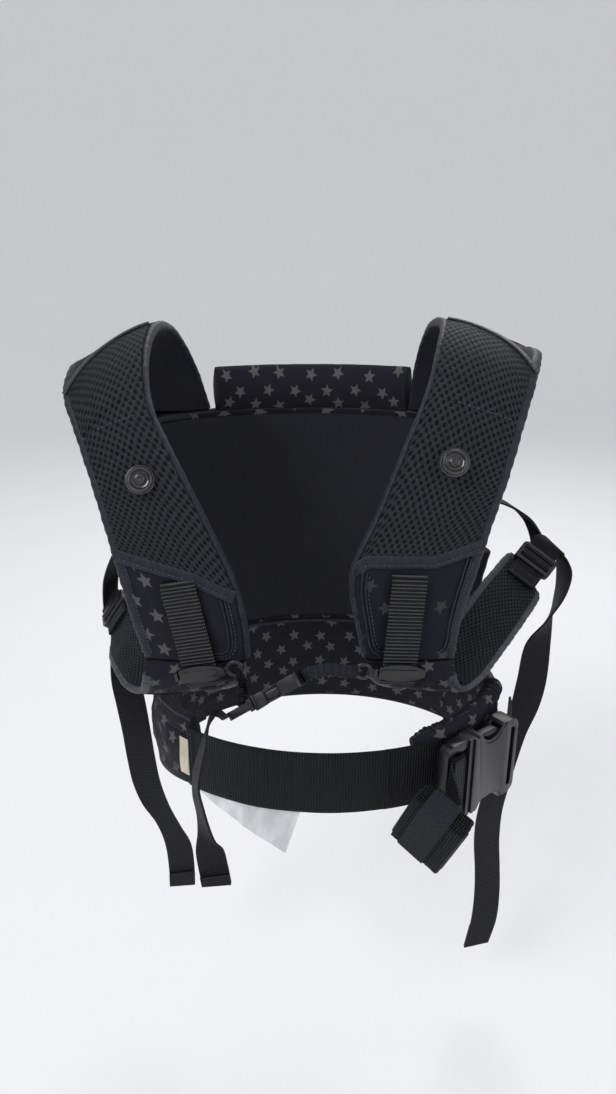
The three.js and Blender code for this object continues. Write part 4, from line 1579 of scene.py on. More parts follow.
@dataclass
class FrontPanel:
    """Padded panel on the wearer's front with its lining, head support, leg bolsters and anchor patches."""

    bottom: float = -262.0
    top: float = -62.0
    thickness: float = 9.0
    lining: float = 1.6
    gap: float = 0.3

    def face(self, u: Array, v: Array, inset: float = 0.0) -> Array:
        """Outer face: u runs up, v from the wearer's left to right.

        Args:
            u: place along.
            v: place across.
            inset: distance inwards.
        Returns:
            The points.
        """
        spread = lerp(44.0, 64.0, np.clip(u * 1.7, 0, 1) ** 0.8)
        a = lerp(WAIST.a, CHEST.a, u) - inset
        b = lerp(WAIST.b, CHEST.b, u) - inset
        angle = np.radians(lerp(180 - spread, 180 + spread, v))
        x = lerp(WAIST.x, CHEST.x, u) - a * np.sin(angle)
        y = lerp(WAIST.y, CHEST.y, u) + 10 * np.sin(math.pi * u) - b * np.cos(angle)
        return np.stack(np.broadcast_arrays(x, y, lerp(self.bottom, self.top, u)), -1)

    def build(self) -> None:
        """All pieces of the front."""
        puff = Crumple(61, 46, 0.9)

        def relief(u: Array, v: Array, s: Array, t: Array) -> Array:
            """Puffed cloth with the sewn seams pulled in."""
            seam = np.exp(-((np.abs(v - 0.5) - 0.3) / 0.012) ** 2) + np.exp(-((u - 0.62) / 0.012) ** 2)
            edge = smooth(u / 0.06) * smooth((1 - u) / 0.06) * smooth(v / 0.05) * smooth((1 - v) / 0.05)
            return (puff(s, t) - 1.6 * seam) * edge

        panel = slab("panel_shell", self.face, pad_depth(self.thickness, 0.6), (70, 90), STARS, relief)
        fit(panel, ROOT, "body_panel")
        low = self.thickness + self.gap
        wide = slab("panel_inner_lining", lambda u, v: self.face(lerp(0.02, 0.98, u),
                                                                 lerp(0.02, 0.98, v)),
                    flat_depth(low, low + self.lining), (60, 80), LINING,
                    lambda u, v, s, t: -0.4 * np.abs(Crumple(62, 30, 0.8)(s, t)))
        fit(wide, ROOT, "panel_lining")
        self.edges()
        self.rest()
        for sign, name in ((-1, "left"), (1, "right")):
            self.bolster(sign, name)
        for side, v in (("left", 0.045), ("right", 0.955)):
            patch = slab(f"{side}_anchor_patch", self.patch(v), flat_depth(-2.4, -self.gap), (14, 14), SHELL)
            fit(patch, ROOT, f"{side}_side_anchor")
            rows = [(0.12, 0.12), (0.88, 0.12), (0.88, 0.88), (0.12, 0.88), (0.12, 0.12), (0.88, 0.88)]
            sew(f"{side}_anchor_box_stitch", self.patch(v), rows, 60, -2.6)

    def cover(self, strap: "Strap", edges: tuple) -> None:
        """Cloth cover that joins a shoulder strap's front end to the panel's top edge.

        Args:
            strap: the strap.
            edges: the panel's v at the strap's v 0 and v 1.
        """

        def surface(u: Array, v: Array) -> Array:
            """Point at (u, v), from the strap's end down on to the panel."""
            at = lerp(edges[0], edges[1], v)
            flat = np.zeros_like(v)
            rows = [strap.back(flat + 0.04, v), strap.back(flat, v), self.face(flat + 1.0, at, -1.6),
                    self.face(flat + 0.94, at, -1.6), self.face(flat + 0.87, at, -1.6)]
            place = u * (len(rows) - 1)
            return sum(row * np.clip(1 - np.abs(place - k), 0, 1)[..., None] for k, row in enumerate(rows))

        side = strap.side.value
        piece = slab(f"{side}_strap_cover", surface, flat_depth(-1.2, 1.2), (60, 24), SHELL)
        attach(piece, ROOT)
        for k, u in enumerate((0.62, 0.93)):
            sew(f"{side}_strap_cover_stitches_{k}", surface, [(u, 0.06), (u, 0.94)], 50, -1.3)

    def patch(self, v: float) -> Surface:
        """Surface of an anchor patch centred at v."""
        return lambda p, q: self.face(lerp(0.56, 0.7, p), v + 0.07 * (q - 0.5))

    def edges(self) -> None:
        """Binding round the panel's free edges, with its stitching."""
        track = [(0.0, 0.0), (0.97, 0.0), (1.0, 0.03), (1.0, 0.97), (0.97, 1.0), (0.0, 1.0)]
        points, inward, out = along_edge(self.face, track, 260, self.thickness / 2)
        centre = points.mean(axis=0)
        flip = 1 if np.mean(np.sum(inward * (centre - points), axis=1)) > 0 else -1
        rim = sweep("panel_binding", points + inward * 1.6 * flip, inward, out, ellipse(4.2, 3.9, 16, 2.6),
                    BINDING)
        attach(rim, ROOT)
        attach(stitches("panel_binding_stitches", (points + inward * 5.2 * flip + out * 3.6)[2:-2],
                         out[2:-2]), ROOT)
        for k, v in enumerate((0.2, 0.8)):
            sew(f"panel_seam_stitches_{k}", self.face, [(0.05, v), (0.95, v)], 80, 1.1)

    def rest(self) -> None:
        """Rolled head support above the panel."""
        surface: Surface = lambda u, v: CHEST.at(lerp(214.0, 146.0, u), lerp(-61.0, -26.0, v), -3)
        pad = slab("head_support_shell", surface, pad_depth(18, 0.35, 2.4), (80, 26), STARS,
                   lambda u, v, s, t: Crumple(63, 26, 1.1)(s, t) * smooth(u / 0.08) * smooth((1 - u) / 0.08)
                   - 1.8 * np.exp(-((u % 0.25 - 0.125) / 0.012) ** 2), swell=2.0, shift=(4, 0))
        fit(pad, ROOT, "head_support")

    def bolster(self, sign: int, name: str) -> None:
        """Padded roll beside a leg opening.

        Args:
            sign: -1 on the left and 1 on the right.
            name: left or right.
        """

        def surface(u: Array, v: Array) -> Array:
            """Point at (u, v), standing off the panel's side."""
            rise = lerp(0.01, 0.46, u)
            edge = self.face(rise, np.full_like(rise, 0.0 if sign < 0 else 1.0), -3)
            middle = self.face(rise, np.full_like(rise, 0.5), -3)
            aside = edge - middle
            aside[..., 2] = 0
            reach = lerp(6.0, 30.0, 1 - v if sign < 0 else v)[..., None]
            return edge + unit(aside) * reach * 0.55 + np.array([0.0, -1.0, 0.0]) * reach * 0.85

        pad = slab(f"{name}_leg_bolster", surface, pad_depth(14, 0.4, 2.4), (50, 26), SHELL,
                   lambda u, v, s, t: Crumple(64, 20, 0.8)(s, t) * smooth(u / 0.08) * smooth((1 - u) / 0.08),
                   swell=1.5)
        fit(pad, ROOT, f"{name}_leg_pad")


@dataclass
class Waistband:
    """Padded band: front, two wings that narrow towards the back, and the ruched roll on the right."""

    top: float = -262.6
    bottom: float = -342.0
    thickness: float = 13.0

    def pad(self, name: str, node: str, angles: tuple, taper: Callable[[Array], tuple], inset: float,
            thick: float, shift: tuple) -> None:
        """One padded length of the band with piping along both edges.

        Args:
            name: the piece's name.
            node: the node that it stands in for.
            angles: degrees at its two ends.
            taper: its lower and upper edge at an angle.
            inset: distance inwards.
            thick: its thickness.
            shift: added to the print's coordinates.
        """

        def surface(u: Array, v: Array) -> Array:
            """Point at (u, v) of this length of the band."""
            theta = lerp(angles[1], angles[0], u)
            low, high = taper(theta)
            return WAIST.at(theta, lerp(low, high, v), inset)

        soft = Crumple(71, 38, 1.2)
        fine = Crumple(72, 11, 0.4)

        def relief(u: Array, v: Array, s: Array, t: Array) -> Array:
            """Creases, gathers at both ends and two sewn lines."""
            gather = np.exp(-(u * 14) ** 2) + np.exp(-((1 - u) * 14) ** 2)
            seam = np.exp(-((v - 0.2) / 0.03) ** 2) + np.exp(-((v - 0.8) / 0.03) ** 2)
            wave = np.sin(t * 0.55 + 2 * np.sin(s * 0.11)) * gather * 0.9
            edge = smooth(v / 0.08) * smooth((1 - v) / 0.08)
            ends = smooth(u / 0.02) * smooth((1 - u) / 0.02)
            return (soft(s, t) + fine(s, t) + wave - 1.2 * seam) * edge * ends

        band = slab(name, surface, pad_depth(thick, 0.5, 2.6), (120, 34), STARS, relief, shift, swell=1.2)
        fit(band, ROOT, node)
        for edge, v in (("lower", 0.0), ("upper", 1.0)):
            points, inward, out = along_edge(surface, [(0.004, v), (0.996, v)], 120, thick / 2)
            cord = sweep(f"{name}_{edge}_piping", points, inward, out,
                         ellipse(1.9, thick * 0.25 + 0.8, 12, 2.4), BINDING)
            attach(cord, ROOT)
        for edge, v in (("lower", 0.2), ("upper", 0.8)):
            sew(f"{name}_{edge}_stitches", surface, [(0.02, v), (0.98, v)], 100, 1.4)

    def build(self) -> None:
        """Front, wings and roll."""
        self.pad("waistband_front_pad", "waistband_front", (126.4, 234.0),
                 lambda theta: (self.bottom, self.top), 0, self.thickness, (0, 0))

        def left(theta: Array) -> tuple:
            """The left wing's lower and upper edge."""
            t = np.clip((theta - 46) / 60, 0, 1)
            return lerp(-318.0, self.bottom, t), lerp(-262.0, self.top, t)

        def right(theta: Array) -> tuple:
            """The right wing's lower and upper edge."""
            t = np.clip((336 - theta) / 60, 0, 1)
            return lerp(-316.0, self.bottom, t), lerp(-278.0, self.top - 5.4, t)

        self.pad("waistband_left_wing", "waistband_left", (46, 126), left, 3, self.thickness, (7, 6))
        self.pad("waistband_right_wing", "waistband_right", (234.4, 336), right, 5, 9, (19, -3))
        self.roll()

    def roll(self) -> None:
        """Ruched roll along the right wing's upper edge."""
        share = np.linspace(0, 1, 150)
        theta = lerp(282.0, 334.0, share)
        path = WAIST.at(theta, lerp(-259.0, -269.0, share), 10)
        side, up = carried(path, (0, 0, 1))
        run = np.arange(150)
        sizes = 1 + 0.07 * np.sin(run * 1.25) + 0.05 * np.sin(run * 0.53 + 1)
        sizes *= 0.55 + 0.45 * smooth(share / 0.06) * smooth((1 - share) / 0.1)
        roll = sweep("ruched_roll", path, side, up, ellipse(7.7, 7.3, 26, 2.1), STARS, sizes=sizes, shift=8)
        fit(roll, ROOT, "waistband_roll")


@dataclass
class Belt:
    """Waist belt webbing, blank labels, buckle, turned webbing, anchor and the folded spare end."""

    width: float = 50.0
    thickness: float = 2.0
    low: float = -315.0
    high: float = -265.0
    start: float = 45.6
    end: float = -17.0
    meet: float = -17.3
    turn: float = -33.5

    def strip(self, a: float, b: float) -> Surface:
        """Belt surface between two angles."""
        return lambda u, v: WAIST.at(lerp(a, b, u), lerp(self.low, self.high, v))

    def build(self, buckle: "Buckle") -> None:
        """Everything at the waist that is not padded.

        Args:
            buckle: the waist buckle.
        """
        main = slab("belt_strap", self.strip(self.start, self.end), flat_depth(0, self.thickness), (150, 20),
                    BELTING, lambda u, v, s,
                    t: 0.25 * Crumple(81, 60, 1.0)(s, t) - 0.35 * smooth((np.abs(2 * v - 1) - 0.93) / 0.05))
        fit(main, ROOT, "belt_webbing")
        slack = slab("belt_slack_strap", self.strip(self.end + 1.2, self.turn),
                     flat_depth(0.3, self.thickness + 0.2), (40, 20),
                     BELTING, None, shift=(160, 0))
        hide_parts("belt_slack")
        ends = [WAIST.at(np.array(a), np.array(-290.0)) * MM for a in (self.meet, self.turn)]
        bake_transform(slack)
        for name, u in (("belt_end_stitches", 0.012), ("belt_end_stitches_second", 0.03)):
            sew(name, self.strip(self.start, self.end), [(u, 0.06), (u, 0.94)], 30, -0.3)
        self.labels()
        self.turned(buckle)
        self.bundle(buckle)

    def labels(self) -> None:
        """Blank care label under the belt and blank size tag at the wing's end."""
        corners = [(-88, -317), (-17, -357), (-4, -312), (-82, -270)]

        def sheet(u: Array, v: Array) -> Array:
            """Point at (u, v) of the care label."""
            a, b, c, d = corners
            x = lerp(lerp(a[0], b[0], u), lerp(d[0], c[0], u), v)
            z = lerp(lerp(a[1], b[1], u), lerp(d[1], c[1], u), v)
            return WAIST.back(x, z, 4.5)

        care = slab("care_label_ribbon", sheet, flat_depth(0, 0.7), (60, 26), WHITE,
                    lambda u, v, s,
                    t: 0.9 * np.exp(-((u - 0.55) / 0.02) ** 2) + 0.6 * Crumple(83, 34, 1.0)(s, t))
        fit(care, ROOT, "care_label")
        grid = sheet(*np.meshgrid(np.linspace(0, 1, 60), np.linspace(0, 1, 30), indexing="ij"))
        tag = slab("size_tag_ribbon", lambda u, v: WAIST.back(-93.5 + 7 * (u - 0.5),
                                                              lerp(-305.0, -274.0, v), -1.6),
                   flat_depth(0, 0.8), (8, 24), BEIGE, lambda u, v, s, t: 0.5 * np.sin(v * 5.0))
        fit(tag, ROOT, "size_tag")

    def turned(self, buckle: "Buckle") -> None:
        """Webbing round the tongue's bar and the webbing that holds the socket.

        Args:
            buckle: the waist buckle.
        """
        tongue = "waist_tongue"
        around = [(-22, -8.2), (-17, -6.4), (-11, -5.8), (-8.2, 0), (-11, 5.8), (-17, 6.2), (-24, 6.6)]
        outer = [(-12.5, 8.1), (-15.5, 8.2), (-19, 8.6), (-25, 9.2)]
        inner = [(-13.5, -2.2), (-12.4, 0), (-13.5, 3.4), (-17, 3.9), (-21, 4.2)]
        anchor = [(51, -3.4), (56, -6.4), (63, -10.6), (71, -16), (79, -23.4)]
        loop = [(36.5, 0.2), (44, 0.3), (48.5, -1.2), (52, -4.0)]
        rows = [("belt_turn_layer", around, 1.0, 60, "belt_turn", tongue),
                ("belt_turn_outer_layer", outer, 2.0, 60, "", tongue),
                ("belt_turn_inner_layer", inner, 3.0, 60, "", tongue),
                ("socket_anchor_strap", anchor, 0.0, 60, "waist_anchor_webbing", ROOT),
                ("socket_anchor_loop", loop, 0.8, 30, "", ROOT)]
        for name, line, less, steps, node, body in rows:
            piece = flat_tape(name, buckle.place, bent(line, steps), (self.width - less, self.thickness),
                              BELTING)
            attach(piece, body)
            if node:
                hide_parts(node)

    def bundle(self, buckle: "Buckle") -> None:
        """Folded spare end, its elastic keeper and the length that leads to it.

        Args:
            buckle: the waist buckle.
        """
        place = Place((86, -147, -310), (0.74, -0.52, -0.42), (0.25, -0.3, 0.92))
        rng = np.random.default_rng(5)
        layers, pitch, reach = 8, 2.45, 19.6
        z0 = -pitch * (layers - 1) / 2
        line = []
        for k in range(layers):
            z = z0 + pitch * k
            xs = np.linspace(-1, 1, 14) * (reach - rng.uniform(0, 1.6))
            if k % 2:
                xs = xs[::-1]
            line += [(x, 0.0, z + 0.18 * math.sin(x * 0.3 + k)) for x in xs]
            if k < layers - 1:
                end = xs[-1]
                bow = math.copysign(1.0, end)
                line += [(end + bow * pitch / 2 * math.sin(a), 0.0, z + pitch / 2 * (1 - math.cos(a)))
                         for a in np.linspace(0.35, math.pi - 0.35, 7)]
        path = np.array(line)
        fold = flat_tape("folded_spare_end", place, path, (47.2, 2.04), BELTING, (30, 12))
        fit(fold, "belt_spare_end", "belt_end_bundle")
        outline = np.array(rounded(-24.9, 24.9, -10.9, 10.9, 4.2))
        loop = np.stack([np.full(len(outline), -2.0), outline[:, 0], outline[:, 1]], -1)
        outward = np.stack([np.zeros(len(outline)), *unit(np.gradient(outline, axis=0)).T[::-1]], -1)
        outward[:, 1:] *= np.array([1.0, -1.0])
        level = np.tile((1.0, 0.0, 0.0), (len(loop), 1))
        keeper = sweep("elastic_keeper_band", place.world(loop), place.turn(outward), place.turn(level),
                       ellipse(0.75, 11.0, 24, 7), ELASTIC, closed=True)
        fit(keeper, "belt_spare_end", "belt_keeper")
        self.lead(buckle, place)

    def lead(self, buckle: "Buckle", place: Place) -> None:
        """Length of belt from the tongue down to the folded end.

        Args:
            buckle: the waist buckle.
            place: the folded end's axes.
        """
        start = buckle.place.world([(-24, 0, 6.8), (-29, 0, 8.0)])
        end = place.world([(8, 0, -12.6), (-12, 0, -11.4)])
        stations = np.vstack([start, end])
        t = np.linspace(0, 1, 50)
        path = spline(stations, t)
        a = buckle.place.turn([(0, 1, 0)])[0]
        b = place.turn([(0, 1, 0)])[0]
        across = unit(a + (b - a) * smooth(t)[:, None])
        way = unit(np.gradient(path, axis=0))
        piece = sweep("spare_end_lead", path, across, unit(np.cross(way, across)),
                      ellipse(23.8, 1.0, 26, 10), BELTING)
        recoat_tape(piece, path, across)
        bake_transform(piece)


@dataclass
class Buckle:
    """Side-release buckle: socket, tongue frame and two spring arms."""

    name: str
    place: Place
    socket_body: str
    tongue_body: str
    webbing: float
    width: float
    thickness: float
    socket: float
    frame: float
    wall: float
    arm: float
    arm_width: float
    scallop: float
    soften: float

    def build(self) -> None:
        """All four pieces."""
        self.build_socket()
        self.build_tongue()
        for side, end in ((1, "upper"), (-1, "lower")):
            self.build_arm(side, end)

    def build_socket(self) -> None:
        """Hollow shell with a scallop at each side, a raised lip and a webbing slot."""
        half, t = self.width / 2, self.thickness / 2
        inside = half - self.wall
        deep = self.socket * 0.74
        outline = rounded(0, self.socket, -half, half, half * 0.24)
        cutters = [
            (rounded(-6, deep, -inside, inside, 1.5), -t + self.wall, t - self.wall),
            ([(self.socket * 0.83, -self.webbing / 2 - 1), (self.socket * 0.83 + 4, -self.webbing / 2 - 1),
              (self.socket * 0.83 + 4, self.webbing / 2 + 1), (self.socket * 0.83, self.webbing / 2 + 1)],
             -self.thickness, self.thickness),
        ]
        lumps = []
        x = self.socket * 0.42
        for side in (-1, 1):
            y = side * (half + self.scallop * 0.5)
            cutters.append((disc(x, y, self.scallop * 1.5), -self.thickness, self.thickness))
            cutters.append((disc(x, y, self.scallop * 1.5 + self.wall * 0.9), t - self.wall * 0.28, t + 5))
            cutters.append((disc(x, y, self.scallop * 1.5 + self.wall * 0.9), -t - 5, -t + self.wall * 0.28))
        lumps.append((rounded(-0.05, self.wall * 1.3, -half * 0.98, half * 0.98, self.wall * 0.4), -t - 0.5,
                      t + 0.5))
        lumps.append((rounded(self.socket * 0.9, self.socket * 0.985, -half * 0.7, half * 0.7,
                              self.wall * 0.6),
                      -t - 0.4, t + 0.5))
        body = Moulding(f"{self.name}_socket_shell", self.place, outline, -t, t, cutters, lumps,
                        self.soften).build()
        fit(body, self.socket_body, f"{self.name}_buckle_socket")

    def build_tongue(self) -> None:
        """Frame with two slots and a guide blade."""
        half = self.width / 2
        bar = self.frame * 0.12
        outline = [(-0.5, half * 0.22), (self.arm * 0.55, half * 0.16), (self.arm * 0.55, -half * 0.16),
                   (-0.5, -half * 0.22), (-0.5, -half)]
        corner = half * 0.2
        outline += arc(-self.frame + corner, -half + corner, corner, -90, -180, 6)
        outline += arc(-self.frame + corner, half - corner, corner, 180, 90, 6)
        outline += [(-0.5, half)]
        outline = outline[::-1]
        side = self.webbing / 2 + 1
        slots = [(-self.frame + bar * 1.4, -self.frame * 0.56), (-self.frame * 0.44, -bar * 1.6)]
        cutters = [(rounded(a, b, -side, side, 0.8), -self.thickness, self.thickness) for a, b in slots]
        t = self.thickness * 0.3
        lumps = [(rounded(-bar * 1.5, -0.5, -half, half, 0.6), -self.thickness * 0.44, self.thickness * 0.44)]
        body = Moulding(f"{self.name}_tongue_frame", self.place, outline, -t, t, cutters, lumps,
                        self.soften).build()
        fit(body, self.tongue_body, f"{self.name}_buckle_tongue")

    def build_arm(self, side: int, end: str) -> None:
        """One spring arm with a rounded thumb pad.

        Args:
            side: 1 for the upper arm and -1 for the lower.
            end: upper or lower.
        """
        outer = self.width / 2 - self.wall - 0.6
        stem = self.arm_width * 0.55
        points = [(0, outer - stem), (self.arm * 0.45, outer - stem),
                  (self.arm * 0.6, outer - self.arm_width * 1.3),
                  (self.arm * 0.92, outer - self.arm_width * 1.1), (self.arm, outer - self.arm_width * 0.7),
                  (self.arm * 0.86, outer - self.arm_width * 0.1), (self.arm * 0.62, outer), (0, outer)]
        points = [(x, y * side) for x, y in points]
        if side > 0:
            points = points[::-1]
        t = self.thickness / 2 - self.wall - 0.4
        body = Moulding(f"{self.name}_{end}_arm", self.place, points, -t, t, soften=self.soften * 1.8).build()
        fit(body, self.name + ("_upper_prong" if side > 0 else "_lower_prong"), f"{self.name}_prong_{end}")


# ---- chest strap and side webbing ----------------------------------------------------------------
def spare_end(side: str, stations: list, steps: int, width: float, tape: float) -> None:
    """Hanging spare end of a strap; its real length is logged.

    Args:
        side: chest, left or right.
        stations: points of the tape, each with the direction across it.
        steps: faces along it.
        width: width of the webbing.
        tape: thickness of the webbing.
    """
    surface = tape_routes(stations, width)
    middle = surface(np.linspace(0, 1, steps), np.full(steps, 0.5))
    length = float(travel(middle)[-1])
    LOG.info("%s spare end is %.0f mm long", side, length)
    piece = slab(f"{side}_spare_end_tape", surface, flat_depth(0, tape), (steps, 8), TAPE_WEAVE)
    fit(piece, f"{side}_spare_end", f"{side}_tail")
    end = fold_end(f"{side}_spare_end_fold", surface, tape)
    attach(end, f"{side}_spare_end")


@dataclass
class ChestStrap:
    """Gathered webbing, elastic and the spare end of the chest strap."""

    tail: list
    tail_width: float = 20.0
    tape: float = 1.6

    def build_tail(self) -> None:
        """Hanging spare end."""
        spare_end("chest", self.tail, 160, self.tail_width, self.tape)

    def build(self) -> None:
        """Gathered lengths on both sides of the buckle."""
        left = [(-49.5, -101.6, -214.2), (-46.6, -105.2, -217), (-46.3, -107.6, -219.4),
                (-46.1, -111, -222.6),
                (-46, -114.6, -225.4), (-46.5, -118, -230.5)]
        self.rope("chest_gathered_webbing", left, 3.4, "chest_webbing", ("chest_strap", "chest_tongue"),
                  TAPE_WEAVE, 0.16)
        right = [(-3.4, -117, -207.6), (-1.2, -116, -206.4), (6, -114.5, -204), (14, -112.5, -204),
                 (23, -109, -207), (30.6, -105, -210), (33.6, -102.6, -211)]
        self.rope("chest_gathered_elastic", right, 4.2, "chest_elastic",
                  ("chest_strap", "chest_strap_right_end"),
                  ELASTIC, 0.12)

    def rope(self, name: str, line: list, radius: float, node: str, bodies: tuple, finish: Finish,
             lumps: float) -> None:
        """A length of webbing scrunched into a soft rope that stretches between two bodies.

        Args:
            name: the piece's name.
            line: stations.
            radius: mean radius.
            node: the node that it stands in for.
            bodies: the bodies at its two ends; not used.
            finish: what it is made of.
            lumps: how uneven it is.
        """
        count = 110
        path = spline(line, np.linspace(0, 1, count))
        side, up = carried(path, (0, 0, 1))
        angle = np.linspace(0, 2 * math.pi, 22, endpoint=False)
        outline = np.stack([np.cos(angle), 0.86 * np.sin(angle)], -1) * radius
        outline *= (1 + 0.13 * np.sin(5 * angle + 0.6) + 0.08 * np.sin(9 * angle))[:, None]
        run = np.arange(count)
        sizes = 1 + lumps * np.sin(run * 0.62) + lumps * 0.6 * np.sin(run * 1.43 + 0.5)
        rope = sweep(name, path, side, up, outline, finish, sizes=sizes)
        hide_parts(node)
        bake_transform(rope)


def fold_end(name: str, surface: Surface, tape: float) -> Piece:
    """Doubled and stitched end of a webbing tail.

    Args:
        name: the piece's name.
        surface: the tail's surface, which ends at u 1.
        tape: the webbing's thickness.
    Returns:
        The folded end.
    """
    part: Surface = lambda u, v: surface(lerp(0.955, 1.0, u), lerp(0.01, 0.99, v))
    return slab(name, part, flat_depth(-tape - 0.25, -0.15), (14, 8), TAPE_WEAVE, swell=0.4)


@dataclass
class SideStrap:
    """Adjuster at the end of an under-arm pad, the webbing to the panel and the hanging spare end."""

    side: Side
    place: Place
    webbing: list
    tail: list
    lift_webbing: tuple
    lift_tail: tuple
    body: str
    width: float = 25.0
    tape: float = 1.6
    length: float = 18.0
    level: float = -9.0
    thickness: float = 6.0
    across: float = 32.0

    def lead(self, lifts: tuple) -> list:
        """Stations that leave the adjuster straight.

        Args:
            lifts: heights above the adjuster's level.
        Returns:
            The stations.
        """
        reach = 4.6 + self.length + 1.2
        points = self.place.world([(reach + 6 * k, 0, self.level + h) for k, h in enumerate(lifts)])
        width = self.place.axes()[1]
        return [(*p, *width) for p in points]

    def build_tail(self) -> None:
        """Hanging spare end."""
        spare_end(self.side.value, [*self.lead(self.lift_tail), *self.tail], 260, self.width, self.tape)

    def build(self) -> None:
        """Adjuster, its sewn tab and the webbing."""
        side = self.side.value
        surface = tape_routes([*self.lead(self.lift_webbing), *self.webbing], self.width)
        run = slab(f"{side}_side_strap", surface, flat_depth(0, self.tape), (90, 8), TAPE_WEAVE)
        fit(run, ROOT, f"{side}_side_webbing")
        line = bent([(x, self.level - 1.2) for x in (-12.0, -6.0, 4.0)], 20)
        piece = flat_tape(f"{side}_sewn_tab", self.place, line, (self.width, 2.5), TAPE_WEAVE, (24, 9))
        fit(piece, ROOT, f"{side}_adjuster_tab")
        row = np.array([(x, y, self.level - 2.6) for x,
                        y in ((-10, -10), (-10, 10), (-3, 10), (-3, -10), (-10, -10))],
                       float)
        dense = np.vstack([row[i] + (row[i + 1] - row[i]) * np.linspace(0, 1, 8)[:, None] for i in range(4)])
        seam = stitches(f"{side}_tab_stitches", self.place.world(dense), self.place.turn(
            np.tile((0.0, 0.0, -1.0), (len(dense), 1))))
        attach(seam, ROOT)
        self.build_adjuster()

    def build_adjuster(self) -> None:
        """Ladder-lock adjuster with a lifted lip, threaded by the webbing."""
        side = self.side.value
        half = self.across / 2
        low, high = self.level - 1 - self.thickness / 2, self.level - 1 + self.thickness / 2
        x0, x1 = 4.6, 4.6 + self.length
        cutters = []
        for share in (0.28, 0.66):
            x = x0 + self.length * share
            cutters.append((rounded(x - 1.7, x + 1.7, -self.width / 2 - 0.8, self.width / 2 + 0.8, 0.7),
                            low - 5, high + 5))
        lumps = [(rounded(x1 - 3.4, x1 - 0.2, -half + 1.5, half - 1.5, 1.2), low - 1.0, high + 0.1)]
        body = Moulding(f"{side}_adjuster_body", self.place, rounded(x0, x1, -half, half, 3.0), low, high,
                        cutters, lumps, 0.8).build()
        fit(body, self.body, f"{side}_adjuster")
        top, bottom = high + 0.9, low - 0.9
        line = [(x1 + 1.4, top - 0.4), (19, top), (16.2, top - 0.6), (15.8, -10), (15.2, bottom + 0.4),
                (12.5, bottom),
                (10.2, bottom + 0.5), (9.7, -10), (9.2, top - 0.6), (7, top)]
        thread = flat_tape(f"{side}_threaded_webbing", self.place, bent(line, 80), (self.width - 0.4, 1.5),
                           TAPE_WEAVE, (24, 9))
        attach(thread, self.body)


# ---- studio --------------------------------------------------------------------------------------
@dataclass
class Studio:
    """Camera, soft light and a plain pale floor."""

    eye: tuple = (0.0, -0.604, 0.065)
    pitch: float = 70.0
    lens: float = 26.32
    sensor: float = 36.0
    aim: tuple = (0, 0, -0.2)
    floor: float = -0.66
    flat: float = 3.0
    cove: float = 1.5
    wall: float = 2.8
    turns: int = 72
    daylight: float = 0.74
    lamps: tuple = (("key", (-1.3, -1.5, 1.5), 1.0, 28), ("fill", (1.6, -1.4, 0.5), 1.4, 9),
                    ("rim", (0.4, 1.4, 1.3), 1.2, 17))

    def build_camera(self) -> None:
        """Camera at the object's back, a little above the shoulders and looking down."""
        data = bpy.data.cameras.new("camera")
        data.lens = self.lens
        data.sensor_width = self.sensor
        data.clip_start = 0.01
        camera = bpy.data.objects.new("camera", data)
        camera.location = self.eye
        camera.rotation_euler = (math.radians(self.pitch), 0, 0)
        bpy.context.scene.collection.objects.link(camera)
        bpy.context.scene.camera = camera

    def lamp(self, name: str, where: tuple, size: float, power: float) -> None:
        """Square area lamp that faces the object.

        Args:
            name: the lamp's name.
            where: its place in metres.
            size: side of the square.
            power: watts.
        """
        data = bpy.data.lights.new(name, "AREA")
        data.size = size
        data.energy = power
        lamp = bpy.data.objects.new(name, data)
        lamp.location = where
        lamp.rotation_euler = (Vector(self.aim) - Vector(where)).to_track_quat("-Z", "Y").to_euler()
        bpy.context.scene.collection.objects.link(lamp)

    def build(self) -> None:
        """Floor, lamps and the pale surroundings."""
        scene = bpy.context.scene
        world = bpy.data.worlds.new("studio")
        world.use_nodes = True
        shade = world.node_tree.nodes["Background"]
        shade.inputs["Color"].default_value = (0.96, 0.97, 1.0, 1)
        shade.inputs["Strength"].default_value = self.daylight
        scene.world = world
        scene.view_settings.view_transform = "Standard"
        profile = [(self.flat, 0.0)]
        profile += [(self.flat + self.cove * math.sin(t), self.cove * (1 - math.cos(t)))
                    for t in np.linspace(0.12, math.pi / 2, 12)]
        profile += [(self.flat + self.cove, self.wall)]
        n = self.turns
        verts = [(r * math.cos(a), r * math.sin(a), self.floor + z)
                 for r, z in profile for a in np.linspace(0, 2 * math.pi, n, endpoint=False)]
        faces = [tuple(range(n))]
        faces += [(n * k + i, n * k + n + i, n * k + n + (i + 1) % n, n * k + (i + 1) % n)
                  for k in range(len(profile) - 1) for i in range(n)]
        mesh = bpy.data.meshes.new("floor")
        mesh.from_pydata(verts, [], faces)
        mesh.polygons.foreach_set("use_smooth", [True] * len(mesh.polygons))
        mesh.materials.append(FLOOR.material())
        ground = bpy.data.objects.new("floor", mesh)
        scene.collection.objects.link(ground)
        for lamp in self.lamps:
            self.lamp(*lamp)


